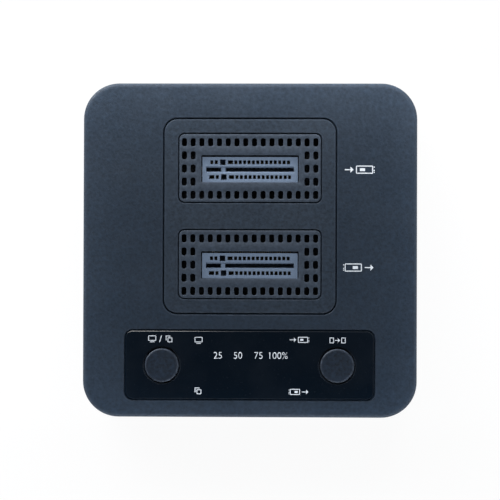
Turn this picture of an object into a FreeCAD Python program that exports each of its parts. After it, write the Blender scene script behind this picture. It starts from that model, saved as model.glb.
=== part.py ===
# Two-bay M.2 drive duplicator: a desk dock that copies one upright M.2 drive to another.
#
# Frame: millimetres, +Z up, z = 0 on the table under the rubber feet, origin under the middle of
# the housing. The control panel is towards -Y and the rear connectors are towards +Y.
#
# Every driving dimension is a cell of the "Sizes" sheet. Lengths that follow from several cells
# are written below it as named expressions, and each feature takes its numbers from those.

import FreeCAD, Part
import math
import os

import Sketcher

document = FreeCAD.newDocument("DriveDuplicator")
sheet = document.addObject("Spreadsheet::Sheet", "Sizes")

sizes = (
    # housing
    ("body_width", 76.2, "housing, left to right"),
    ("body_depth", 76.2, "housing, front to rear"),
    ("body_height", 34.0, "table to top face"),
    ("corner_radius", 8.2, "plan radius of the housing corners"),
    ("top_edge_radius", 1.0, "round along the top edge"),
    ("bottom_edge_radius", 1.0, "round along the bottom edge"),
    ("side_wall", 2.0, "side walls of the housing"),
    ("top_wall", 2.2, "top wall of the housing"),
    ("base_wall", 2.0, "floor of the bottom cover"),
    ("parting_height", 7.0, "table to the joint between shell and cover"),
    ("parting_chamfer", 0.3, "bevel on both sides of the joint"),
    ("lip_height", 2.0, "tongue of the cover inside the shell"),
    ("lip_wall", 1.2, "thickness of that tongue"),
    ("lip_clearance", 0.1, "tongue to shell wall"),
    # feet
    ("foot_diameter", 9.0, "rubber foot"),
    ("foot_thickness", 2.0, "rubber foot"),
    ("foot_edge", 0.4, "bevel round the foot"),
    ("foot_recess", 0.5, "pocket that holds the foot"),
    ("foot_clearance", 0.1, "foot to the wall of its pocket"),
    # corner posts and case screws
    ("corner_post_inset", 7.0, "outside of the housing to a corner post's axis"),
    ("corner_post_diameter", 6.0, "post of the shell"),
    ("base_post_diameter", 8.0, "post of the bottom cover"),
    ("post_joint_height", 8.0, "table to where the posts meet"),
    ("post_rib", 1.2, "thickness of the ribs between post and wall"),
    ("rib_clearance", 0.5, "lower end of those ribs above the tongue"),
    ("case_screw_diameter", 2.5, "self-tapping screw"),
    ("case_screw_length", 10.0, "under the head"),
    ("case_screw_head", 4.6, "head diameter"),
    ("case_screw_head_height", 1.8, "head height"),
    ("counterbore_depth", 2.4, "foot pocket to the seat of the head"),
    ("head_clearance", 0.2, "screw head to counterbore"),
    ("screw_clearance", 0.2, "screw to a plain hole"),
    ("thread_clearance", 0.02, "screw to the hole it cuts its thread in"),
    ("screw_hole_spare", 0.6, "hole beyond the end of the screw"),
    ("screw_tip", 0.5, "length of the pointed end"),
    ("cross_width", 0.5, "slot of the cross recess"),
    # main board
    ("board_thickness", 1.6, "main board"),
    ("board_gap", 1.5, "board edge to the housing wall"),
    ("board_notch_gap", 0.6, "board notch to the corner post"),
    ("board_post_inset", 8.0, "outside of the housing to a board post's axis"),
    ("board_post_spacing", 34.0, "front to rear distance of the board posts"),
    ("board_post_diameter", 5.0, "post that the board hangs from"),
    ("board_screw_diameter", 2.0, "self-tapping screw"),
    ("board_screw_length", 6.0, "under the head"),
    ("board_screw_head", 3.8, "head diameter"),
    ("board_screw_head_height", 1.4, "head height"),
    # bay insert
    ("bay_pitch", 21.94, "source bay to target bay"),
    ("bay_rear_margin", 8.21, "rear of the housing to the bay frame"),
    ("bay_border", 3.18, "frame outside the grilles"),
    ("bay_gap", 0.25, "frame to the opening in the shell"),
    ("bay_corner_radius", 3.0, "plan radius of the frame"),
    ("bay_chamfer", 0.2, "bevel on both sides of the groove"),
    ("flange_width", 1.6, "flange of the frame under the shell"),
    ("flange_thickness", 1.2, "flange of the frame"),
    ("ear_reach", 3.0, "frame edge to a stake's axis"),
    ("ear_width", 4.0, "ear of the flange round a stake"),
    ("ear_spacing", 28.0, "front to rear distance of the ears"),
    ("stake_diameter", 1.6, "heat stake of the shell"),
    ("stake_clearance", 0.05, "stake to its hole"),
    ("stake_head", 2.8, "diameter of the melted head"),
    ("stake_head_height", 0.6, "height of the melted head"),
    # grilles
    ("grille_thickness", 1.4, "vent plate"),
    ("grille_gap", 0.24, "vent plate to the frame"),
    ("grille_ledge", 0.35, "ledge of the frame under the plate"),
    ("grille_radius", 1.2, "plan radius of the plate"),
    ("grille_chamfer", 0.15, "bevel on both sides of the groove"),
    ("grille_side_border", 0.56, "outer holes to the plate's short edges"),
    ("grille_long_border", 0.89, "outer holes to the plate's long edges"),
    ("vent_width", 1.18, "hole, left to right"),
    ("vent_length", 1.72, "hole, front to rear"),
    ("vent_corner", 0.32, "bevelled corner of a hole"),
    ("vent_pitch_x", 2.0, "columns"),
    ("vent_pitch_y", 3.0, "rows"),
    ("vent_columns", 16, "columns in the first and last rows"),
    ("vent_rows", 5, "rows at the ends of the plate"),
    ("vent_end_columns", 2, "columns beside the socket, on each side"),
    ("socket_window_gap", 0.24, "window of the grille beyond the socket, on each side"),
    ("window_shift", 0.16, "window towards the front of the grille"),
    ("window_radius", 0.3, "plan radius of that window"),
    # M.2 sockets
    ("socket_height", 10.4, "socket above the board"),
    ("socket_depth", 5.76, "socket, front to rear"),
    ("socket_recess", 0.7, "top of the socket below the top face"),
    ("socket_shift", 0.18, "socket towards the front of its window"),
    ("socket_end_wall", 0.85, "plastic beyond the ends of the slot"),
    ("socket_standoff", 0.3, "gap under the socket for the solder tails"),
    ("socket_foot", 1.6, "length of each end foot"),
    ("slot_end_margin", 0.8, "last contact to the end of the slot"),
    ("slot_thickness", 0.9, "slot for the edge of the drive's card"),
    ("slot_depth", 6.0, "slot for the edge of the drive's card"),
    ("slot_lead_in", 0.3, "bevel along both sides of the slot"),
    ("key_width", 1.0, "rib that enters the card's notch"),
    ("contact_pitch", 0.5, "contact to contact"),
    ("contact_width", 0.16, "sprung contact"),
    ("contact_thickness", 0.14, "sprung contact"),
    ("contact_reach", 0.2, "contact point to the middle of the slot"),
    ("contact_tail", 0.5, "solder tail outside the socket"),
    ("contact_top_gap", 1.5, "tip of a contact below the top of the socket"),
    ("contact_elbow", 5.2, "height at which a contact leans in"),
    ("contact_touch", 3.5, "contact point below the top of the socket"),
    ("pair_windows", 13, "windows with two contacts in the long bank"),
    ("key_positions", 4, "contacts left out at the key"),
    ("window_margin", 0.1, "outer contact's axis to the end of its window"),
    ("window_row", 1.69, "middle of the socket to the middle of a window row"),
    ("window_length", 0.86, "window, front to rear"),
    ("window_roof", 1.6, "plastic above the cavity between slot and window"),
    ("key_pocket_width", 1.26, "square pocket beside the key"),
    ("key_pocket_depth", 4.0, "square pocket beside the key"),
    ("anchor_thickness", 0.2, "metal anchor at each end"),
    ("anchor_width", 2.4, "metal anchor"),
    ("anchor_height", 3.0, "metal anchor"),
    ("anchor_foot", 1.2, "solder foot of the anchor"),
    # control panel
    ("overlay_width", 56.8, "glossy panel"),
    ("overlay_length", 15.7, "glossy panel, front to rear"),
    ("overlay_thickness", 0.75, "glossy panel"),
    ("overlay_radius", 1.7, "plan radius of the panel"),
    ("overlay_chamfer", 0.25, "bevel round the panel"),
    ("overlay_front_margin", 4.05, "front of the housing to the panel"),
    ("overlay_recess", 0.75, "pocket in the shell"),
    ("overlay_gap", 0.15, "panel to the wall of its pocket"),
    ("recess_chamfer", 0.2, "bevel round the pocket"),
    ("adhesive_thickness", 0.1, "adhesive sheet"),
    ("adhesive_margin", 0.6, "panel edge to adhesive edge"),
    # keys and their switches
    ("button_spacing", 40.0, "mode key to start key"),
    ("button_row", -0.1, "keys from the middle of the panel"),
    ("button_diameter", 7.7, "key cap"),
    ("button_proud", 0.4, "key above the top face"),
    ("button_edge", 0.35, "round of the key's rim"),
    ("button_clearance", 0.3, "key to the hole in the shell"),
    ("overlay_hole_clearance", 0.55, "key to the hole in the panel"),
    ("button_flange", 1.35, "flange beyond the cap"),
    ("button_flange_thickness", 1.0, "flange that holds the key in"),
    ("button_lift_gap", 0.1, "flange to the shell"),
    ("button_stem", 3.0, "diameter of the stem"),
    ("switch_width", 6.0, "tact switch"),
    ("switch_height", 3.6, "tact switch"),
    ("switch_corner", 0.6, "bevelled corner of the tact switch"),
    ("plunger_diameter", 3.4, "plunger of the tact switch"),
    ("plunger_rise", 0.9, "plunger above the switch"),
    ("plunger_sink", 0.6, "plunger inside the switch"),
    ("plunger_clearance", 0.1, "plunger to the switch"),
    ("switch_well", 1.2, "depth of the plunger's well"),
    # indicator lights
    ("light_pitch", 4.62, "percent light to percent light"),
    ("light_offset", -0.27, "middle of the percent row from the middle of the panel"),
    ("light_row", -1.2, "percent row from the middle of the panel"),
    ("side_light_x", 11.45, "mode and bay lights from the middle of the panel"),
    ("side_light_y", 3.15, "mode and bay lights from the middle of the panel"),
    ("light_hole", 2.0, "hole in the shell over a light"),
    ("light_well", 2.6, "well in the baffle round a light"),
    ("baffle_border", 0.9, "baffle outside its wells"),
    ("light_length", 1.6, "light, left to right"),
    ("light_width", 0.8, "light, front to rear"),
    ("light_height", 0.6, "light above the board"),
    # parts under the board
    ("chip_width", 9.0, "bridge and controller chips"),
    ("chip_height", 0.9, "bridge and controller chips"),
    ("chip_line_gap", 11.0, "controller in front of the source bridge"),
    ("choke_width", 6.6, "power choke"),
    ("choke_height", 3.0, "power choke"),
    ("choke_edge", 1.2, "bevelled corner of a choke"),
    ("choke_x", 16.0, "chokes from the middle"),
    ("capacitor_diameter", 8.0, "input capacitor"),
    ("capacitor_length", 10.0, "input capacitor"),
    ("capacitor_groove", 0.4, "groove rolled into the can"),
    ("capacitor_gap", 3.0, "capacitor in front of the power jack"),
    # USB-C socket
    ("usb_width", 8.94, "shell of the USB-C socket"),
    ("usb_height", 3.26, "shell of the USB-C socket"),
    ("usb_length", 7.35, "shell of the USB-C socket"),
    ("usb_wall", 0.3, "metal of the shell"),
    ("usb_inset", 0.6, "mouth behind the rear face"),
    ("usb_opening_gap", 0.28, "shell to the opening in the wall"),
    ("usb_block", 2.2, "plastic behind the tongue"),
    ("tongue_width", 6.69, "tongue of the USB-C socket"),
    ("tongue_thickness", 0.7, "tongue of the USB-C socket"),
    ("tongue_length", 4.45, "tongue of the USB-C socket"),
    # power jack
    ("jack_x", -17.0, "power jack from the middle"),
    ("jack_width", 9.0, "power jack"),
    ("jack_height", 11.0, "power jack"),
    ("jack_length", 13.5, "power jack"),
    ("jack_axis_drop", 6.5, "board to the jack's axis"),
    ("jack_nose", 7.6, "round nose in the wall's hole"),
    ("jack_nose_length", 1.6, "round nose"),
    ("jack_hole_gap", 0.3, "nose to the hole in the wall"),
    ("jack_wall_gap", 0.1, "jack to the inside of the wall"),
    ("jack_lip_gap", 0.6, "jack to the notch in the cover's tongue"),
    ("jack_bore", 6.3, "bore for the plug"),
    ("jack_bore_depth", 11.0, "bore for the plug"),
    ("jack_pin", 2.0, "centre pin"),
    ("jack_pin_inset", 0.8, "tip of the pin inside the nose"),
    ("jack_rivet", 3.0, "pin's thick end in the back wall"),
    ("jack_slot_width", 3.0, "slot for the leaf contact"),
    ("jack_slot_length", 8.0, "slot for the leaf contact"),
    ("leaf_thickness", 0.3, "leaf contact"),
    ("leaf_clearance", 0.1, "leaf contact to its slot"),
    ("leaf_reach", 0.3, "leaf contact inside the bore"),
    # power switch
    ("power_x", 17.0, "power switch from the middle"),
    ("power_width", 10.0, "switch, left to right"),
    ("power_height", 4.4, "switch"),
    ("power_length", 4.8, "switch, front to rear"),
    ("power_case_wall", 0.3, "metal of the switch case"),
    ("power_base_thickness", 1.4, "insulating plate of the switch"),
    ("power_wall_gap", 0.1, "switch to the inside of the wall"),
    ("slider_width", 5.4, "carriage of the slider"),
    ("slider_clearance", 0.1, "carriage to the case"),
    ("nub_width", 2.2, "thumb nub"),
    ("nub_height", 1.8, "thumb nub"),
    ("nub_inset", 0.1, "tip of the nub behind the rear face"),
    ("nub_slot_gap", 0.4, "nub to the end of its slot"),
    # travel of what moves
    ("button_travel", 0.35, "press of a key"),
    ("power_travel", 2.5, "slide of the power switch"),
    # cooling slots in the floor
    ("floor_slots", 7, "slots"),
    ("floor_slot_pitch", 4.0, "slot to slot"),
    ("floor_slot_width", 1.6, "slot"),
    ("floor_slot_length", 22.0, "slot"),
)

for row, (alias, amount, note) in enumerate(sizes, start=1):
    sheet.set(f"A{row}", note)
    sheet.set(f"B{row}", str(amount))
    sheet.setAlias(f"B{row}", alias)
document.recompute()

cells = [alias for alias, amount, note in sizes]
Vector = FreeCAD.Vector
upward = Vector(0, 0, 1)
least_volume = 1e-6
level_tolerance = 1e-4
reach_tolerance = 1e-3
parts = []

# ---------------------------------------------------------------- lengths that follow from cells

half_width = "(body_width / 2)"
half_depth = "(body_depth / 2)"
foot_stand = "(foot_thickness - foot_recess)"
cover_floor = f"({foot_stand} + base_wall)"
roof_inside = "(body_height - top_wall)"
lip_outside = "(side_wall + lip_clearance)"
lip_inside = "(side_wall + lip_clearance + lip_wall)"
corner_post_x = f"({half_width} - corner_post_inset)"
corner_post_y = f"({half_depth} - corner_post_inset)"
screw_seat = f"({foot_stand} + foot_recess + counterbore_depth)"

# board and what stands on it
board_top = "(body_height - socket_recess - socket_height)"
board_bottom = f"({board_top} - board_thickness)"
board_half_width = f"({half_width} - side_wall - board_gap)"
board_half_depth = f"({half_depth} - side_wall - board_gap)"
board_post_x = f"({half_width} - board_post_inset)"
board_post_y = "(board_post_spacing / 2)"
switch_top = f"({board_top} + switch_height)"
plunger_top = f"({switch_top} + plunger_rise)"

# rows of contacts: the long bank, the key and the short bank (five in front, four behind)
long_bank = "(3 + 2 * pair_windows)"
front_short_bank = 5
rear_short_bank = 4
front_span = f"(({front_short_bank} - 1 + key_positions + {long_bank}) * contact_pitch)"
rear_span = f"(({rear_short_bank} - 1 + key_positions + {long_bank}) * contact_pitch)"
front_key_x = f"(({front_short_bank} + (key_positions - 1) / 2) * contact_pitch - {front_span} / 2)"
rear_key_x = f"(({rear_short_bank} + (key_positions - 1) / 2) * contact_pitch - {rear_span} / 2)"
key_x = f"(({front_key_x} + {rear_key_x}) / 2)"
contact_rows = (("front", -1, front_span, front_short_bank), ("rear", 1, rear_span, rear_short_bank))
slot_length = f"({front_span} + 2 * slot_end_margin)"
socket_width = f"({slot_length} + 2 * socket_end_wall)"

# bays
grille_width = "((vent_columns - 1) * vent_pitch_x + vent_width + 2 * grille_side_border)"
grille_length = "((vent_rows - 1) * vent_pitch_y + vent_length + 2 * grille_long_border)"
bay_width = f"({grille_width} + 2 * grille_gap + 2 * bay_border)"
bay_length = f"(bay_pitch + {grille_length} + 2 * grille_gap + 2 * bay_border)"
bay_y = f"({half_depth} - bay_rear_margin - {bay_length} / 2)"
bays = {"target": f"({bay_y} + bay_pitch / 2)", "source": f"({bay_y} - bay_pitch / 2)"}
ear_x = f"({bay_width} / 2 + ear_reach)"
flange_bottom = f"({roof_inside} - flange_thickness)"

# control panel
overlay_y = f"(overlay_front_margin + overlay_length / 2 - {half_depth})"
keys = {"mode": "(-button_spacing / 2)", "start": "(button_spacing / 2)"}
key_y = f"({overlay_y} + button_row)"
key_hole = "(button_diameter + 2 * button_clearance)"
panel_hole = "(button_diameter + 2 * overlay_hole_clearance)"
recess_floor = "(body_height - overlay_recess)"
lights = {
    "percent_25_light": ("(light_offset - 1.5 * light_pitch)", "light_row"),
    "percent_50_light": ("(light_offset - 0.5 * light_pitch)", "light_row"),
    "percent_75_light": ("(light_offset + 0.5 * light_pitch)", "light_row"),
    "percent_100_light": ("(light_offset + 1.5 * light_pitch)", "light_row"),
    "computer_mode_light": ("(-side_light_x)", "side_light_y"),
    "copy_mode_light": ("(-side_light_x)", "(-side_light_y)"),
    "target_light": ("side_light_x", "side_light_y"),
    "source_light": ("side_light_x", "(-side_light_y)"),
}

# rear connectors
usb_axis = f"({board_bottom} - usb_height / 2)"
usb_front = f"({half_depth} - usb_inset)"
jack_axis = f"({board_bottom} - jack_axis_drop)"
jack_bottom = f"({jack_axis} - jack_height / 2)"
jack_notch_floor = f"min(parting_height; {jack_bottom} - jack_lip_gap)"
jack_back = f"({half_depth} - side_wall - jack_wall_gap - jack_length)"
jack_total = "(jack_length + jack_nose_length)"
jack_bore_floor = f"({jack_total} - jack_bore_depth)"
power_axis = f"({board_bottom} - power_height / 2)"
power_back = f"({half_depth} - side_wall - power_wall_gap - power_length)"
nub_slot = "(nub_width + power_travel + 2 * nub_slot_gap)"
nub_slot_height = "(nub_height + 2 * nub_slot_gap)"


# ---------------------------------------------------------------- helpers


def bound(expression):
    """Turn the names of cells in an expression into references to the sheet."""
    words = []
    word = ""
    for letter in str(expression) + " ":
        if letter.isalnum() or letter == "_":
            word += letter
            continue
        words.append("Sizes." + word if word in cells else word)
        words.append(letter)
        word = ""
    return "".join(words).strip()


def amount_of(expression):
    return float(sheet.evalExpression(bound(expression)))


def new_body(label):
    body = document.addObject("PartDesign::Body", label)
    body.Label = label
    parts.append(body)
    return body


def copy_body(label, original):
    """Body that repeats another body's solid; it gets a place of its own."""
    body = new_body(label)
    base = document.addObject("PartDesign::FeatureBase", f"{label}_base")
    base.BaseFeature = original
    body.Group = [base]
    body.Tip = base
    return body


def place(part, x="0", y="0", z="0"):
    part.setExpression("Placement.Base.x", bound(x))
    part.setExpression("Placement.Base.y", bound(y))
    part.setExpression("Placement.Base.z", bound(z))


def new_sketch(body, name, plane="XY_Plane", x="0", y="0", z="0"):
    """Sketch on one of the body's origin planes; x, y and z shift it in the plane's own axes."""
    sketch = body.newObject("Sketcher::SketchObject", name)
    support = [item for item in body.Origin.OriginFeatures if item.Role == plane][0]
    sketch.AttachmentSupport = [(support, "")]
    sketch.MapMode = "FlatFace"
    sketch.setExpression("AttachmentOffset.Base.x", bound(x))
    sketch.setExpression("AttachmentOffset.Base.y", bound(y))
    sketch.setExpression("AttachmentOffset.Base.z", bound(z))
    return sketch


def drive(sketch, limits):
    """Add dimensions, each one bound to its expression: (kind, geometry arguments, expression)."""
    constraints = []
    for kind, arguments, expression in limits:
        constraints.append(Sketcher.Constraint(kind, *arguments, amount_of(expression)))
    first = sketch.ConstraintCount
    sketch.addConstraint(constraints)
    for index, (kind, arguments, expression) in enumerate(limits):
        sketch.setExpression(f"Constraints[{first + index}]", bound(expression))


def at_point(geometry, point, x, y):
    """Dimensions that put one point of a geometry at x, y from the sketch's origin."""
    return [
        ("DistanceX", (-1, 1, geometry, point), x),
        ("DistanceY", (-1, 1, geometry, point), y),
    ]


def polygon(sketch, corners):
    first = sketch.GeometryCount
    points = [Vector(amount_of(x), amount_of(y), 0) for x, y in corners]
    joints = []
    limits = []
    for index, (x, y) in enumerate(corners):
        following = (index + 1) % len(corners)
        sketch.addGeometry(Part.LineSegment(points[index], points[following]))
        joints.append(Sketcher.Constraint("Coincident", first + index, 2, first + following, 1))
        limits += at_point(first + index, 1, x, y)
    sketch.addConstraint(joints)
    drive(sketch, limits)


def rectangle(sketch, width, length, x="0", y="0"):
    left = f"({x}) - ({width}) / 2"
    right = f"({x}) + ({width}) / 2"
    front = f"({y}) - ({length}) / 2"
    rear = f"({y}) + ({length}) / 2"
    polygon(sketch, [(left, front), (right, front), (right, rear), (left, rear)])


def circle(sketch, diameter, x="0", y="0"):
    centre = Vector(amount_of(x), amount_of(y), 0)
    index = sketch.addGeometry(Part.Circle(centre, upward, amount_of(diameter) / 2))
    drive(sketch, at_point(index, 3, x, y) + [("Diameter", (index,), diameter)])


def quarter_turns(turns):
    return turns * math.pi / 2


def rounded_rectangle(sketch, width, length, radius, x="0", y="0"):
    """Four arcs joined by tangent lines; the arcs run anticlockwise from the rear right corner."""
    first = sketch.GeometryCount
    right = f"({x}) + ({width}) / 2 - ({radius})"
    left = f"({x}) - ({width}) / 2 + ({radius})"
    rear = f"({y}) + ({length}) / 2 - ({radius})"
    front = f"({y}) - ({length}) / 2 + ({radius})"
    centres = [(right, rear), (left, rear), (left, front), (right, front)]
    arcs = []
    for turn, (centre_x, centre_y) in enumerate(centres):
        centre = Vector(amount_of(centre_x), amount_of(centre_y), 0)
        whole = Part.Circle(centre, upward, amount_of(radius))
        arcs.append(Part.ArcOfCircle(whole, quarter_turns(turn), quarter_turns(turn + 1)))
    sketch.addGeometry(arcs)
    joints = []
    for turn, arc in enumerate(arcs):
        following = (turn + 1) % 4
        side = sketch.addGeometry(Part.LineSegment(arc.EndPoint, arcs[following].StartPoint))
        joints.append(Sketcher.Constraint("Tangent", first + turn, 2, side, 1))
        joints.append(Sketcher.Constraint("Tangent", side, 2, first + following, 1))
        direction = "Horizontal" if turn % 2 == 0 else "Vertical"
        joints.append(Sketcher.Constraint(direction, side))
    for turn in (1, 2, 3):
        joints.append(Sketcher.Constraint("Equal", first, first + turn))
    sketch.addConstraint(joints)
    limits = [("Radius", (first,), radius)]
    limits += at_point(first, 3, right, rear)
    limits += at_point(first + 2, 3, left, front)
    drive(sketch, limits)


def obround(sketch, length, width, x="0", y="0"):
    """Two half circles joined by level lines."""
    first = sketch.GeometryCount
    right = f"({x}) + ({length}) / 2 - ({width}) / 2"
    left = f"({x}) - ({length}) / 2 + ({width}) / 2"
    ends = []
    for side, centre_x in ((-1, right), (1, left)):
        centre = Vector(amount_of(centre_x), amount_of(y), 0)
        whole = Part.Circle(centre, upward, amount_of(width) / 2)
        ends.append(Part.ArcOfCircle(whole, quarter_turns(side), quarter_turns(side + 2)))
    sketch.addGeometry(ends)
    rear = sketch.addGeometry(Part.LineSegment(ends[0].EndPoint, ends[1].StartPoint))
    front = sketch.addGeometry(Part.LineSegment(ends[1].EndPoint, ends[0].StartPoint))
    joints = [
        Sketcher.Constraint("Tangent", first, 2, rear, 1),
        Sketcher.Constraint("Tangent", rear, 2, first + 1, 1),
        Sketcher.Constraint("Tangent", first + 1, 2, front, 1),
        Sketcher.Constraint("Tangent", front, 2, first, 1),
        Sketcher.Constraint("Equal", first, first + 1),
    ]
    sketch.addConstraint(joints)
    limits = at_point(first, 3, right, y) + at_point(first + 1, 3, left, y)
    drive(sketch, limits + [("Diameter", (first,), width)])


def add_feature(body, kind, name, settings, expressions):
    """Add a feature at the tip of a body and stop if it fails or changes nothing."""
    before = 0.0 if body.Tip is None else body.Shape.Volume
    feature = body.newObject(f"PartDesign::{kind}", name)
    for setting, state in settings.items():
        setattr(feature, setting, state)
    for setting, expression in expressions.items():
        feature.setExpression(setting, bound(expression))
    body.Tip = feature
    document.recompute()
    if abs(feature.Shape.Volume - before) < least_volume:
        raise RuntimeError(f"{feature.Label} changes nothing")
    return feature


def pad(body, name, sketch, length, downward=False, both_ways=False):
    settings = {"Profile": sketch, "Reversed": downward, "Midplane": both_ways}
    return add_feature(body, "Pad", name, settings, {"Length": length})


def pocket(body, name, sketch, depth, upward_cut=False, both_ways=False):
    settings = {"Profile": sketch, "Reversed": upward_cut, "Midplane": both_ways}
    return add_feature(body, "Pocket", name, settings, {"Length": depth})


def revolve(body, name, sketch):
    settings = {"Profile": sketch, "ReferenceAxis": (sketch, ["V_Axis"]), "Angle": 360.0}
    return add_feature(body, "Revolution", name, settings, {})


def edges_at(body, height, half_x=None, middle_y="0", half_y=None):
    """Names of the level edges at a height, all of them or those inside a rectangle."""
    level = amount_of(height)
    names = []
    for number, edge in enumerate(body.Tip.Shape.Edges, start=1):
        box = edge.BoundBox
        if max(abs(box.ZMin - level), abs(box.ZMax - level)) > level_tolerance:
            continue
        if half_x is not None:
            middle = amount_of(middle_y)
            spare_x = amount_of(half_x) - max(abs(box.XMin), abs(box.XMax))
            spare_y = amount_of(half_y) - max(abs(box.YMin - middle), abs(box.YMax - middle))
            if min(spare_x, spare_y) < -reach_tolerance:
                continue
        names.append(f"Edge{number}")
    return names


def upright_edges(body, height):
    """Names of the edges that rise through more than half of a block's height."""
    names = []
    for number, edge in enumerate(body.Tip.Shape.Edges, start=1):
        if edge.BoundBox.ZLength > amount_of(height) / 2:
            names.append(f"Edge{number}")
    return names


def bevel(body, name, edges, width):
    return add_feature(body, "Chamfer", name, {"Base": (body.Tip, edges)}, {"Size": width})


def round_edges(body, name, edges, radius):
    return add_feature(body, "Fillet", name, {"Base": (body.Tip, edges)}, {"Radius": radius})


def origin_item(body, role):
    return [item for item in body.Origin.OriginFeatures if item.Role == role][0]


def repeat(body, name, original, spacing, copies, axis="X_Axis"):
    """Row of copies along one axis of the body."""
    settings = {"Originals": [original], "Direction": (origin_item(body, axis), [""])}
    settings["Mode"] = "Spacing"
    return add_feature(
        body, "LinearPattern", name, settings, {"Offset": spacing, "Occurrences": copies}
    )


def grid(body, name, originals, across, along):
    """Copies in columns and rows: across and along are (spacing, copies)."""
    before = body.Shape.Volume
    whole = body.newObject("PartDesign::MultiTransform", name)
    whole.Originals = originals
    steps = []
    for axis, (spacing, copies) in (("X_Axis", across), ("Y_Axis", along)):
        step = body.newObject("PartDesign::LinearPattern", f"{name}_{axis[0].lower()}")
        step.Direction = (origin_item(body, axis), [""])
        step.Mode = "Spacing"
        step.setExpression("Offset", bound(spacing))
        step.setExpression("Occurrences", bound(copies))
        steps.append(step)
    return settle_transform(body, whole, steps, before)


def mirror(body, name, originals, planes):
    """Copies mirrored in each of the body's planes in turn."""
    before = body.Shape.Volume
    whole = body.newObject("PartDesign::MultiTransform", name)
    whole.Originals = originals
    steps = []
    for plane in planes:
        step = body.newObject("PartDesign::Mirrored", f"{name}_{plane[:2].lower()}")
        step.MirrorPlane = (origin_item(body, plane), [""])
        steps.append(step)
    return settle_transform(body, whole, steps, before)


def settle_transform(body, whole, steps, before):
    whole.Transformations = steps
    body.Tip = whole
    document.recompute()
    if abs(whole.Shape.Volume - before) < least_volume:
        raise RuntimeError(f"{whole.Label} changes nothing")
    return whole


def block(label, width, length, height, x, y, z):
    """Plain block, centred on x and y, standing on z."""
    part = document.addObject("Part::Box", label)
    part.Label = label
    part.setExpression("Length", bound(width))
    part.setExpression("Width", bound(length))
    part.setExpression("Height", bound(height))
    place(part, f"({x}) - ({width}) / 2", f"({y}) - ({length}) / 2", z)
    parts.append(part)
    return part


def four_corners(x, y):
    """The four mirrored places of one point in plan."""
    return [(f"({side} * {x})", f"({end} * {y})") for side in (-1, 1) for end in (-1, 1)]


# ---------------------------------------------------------------- housing


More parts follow.
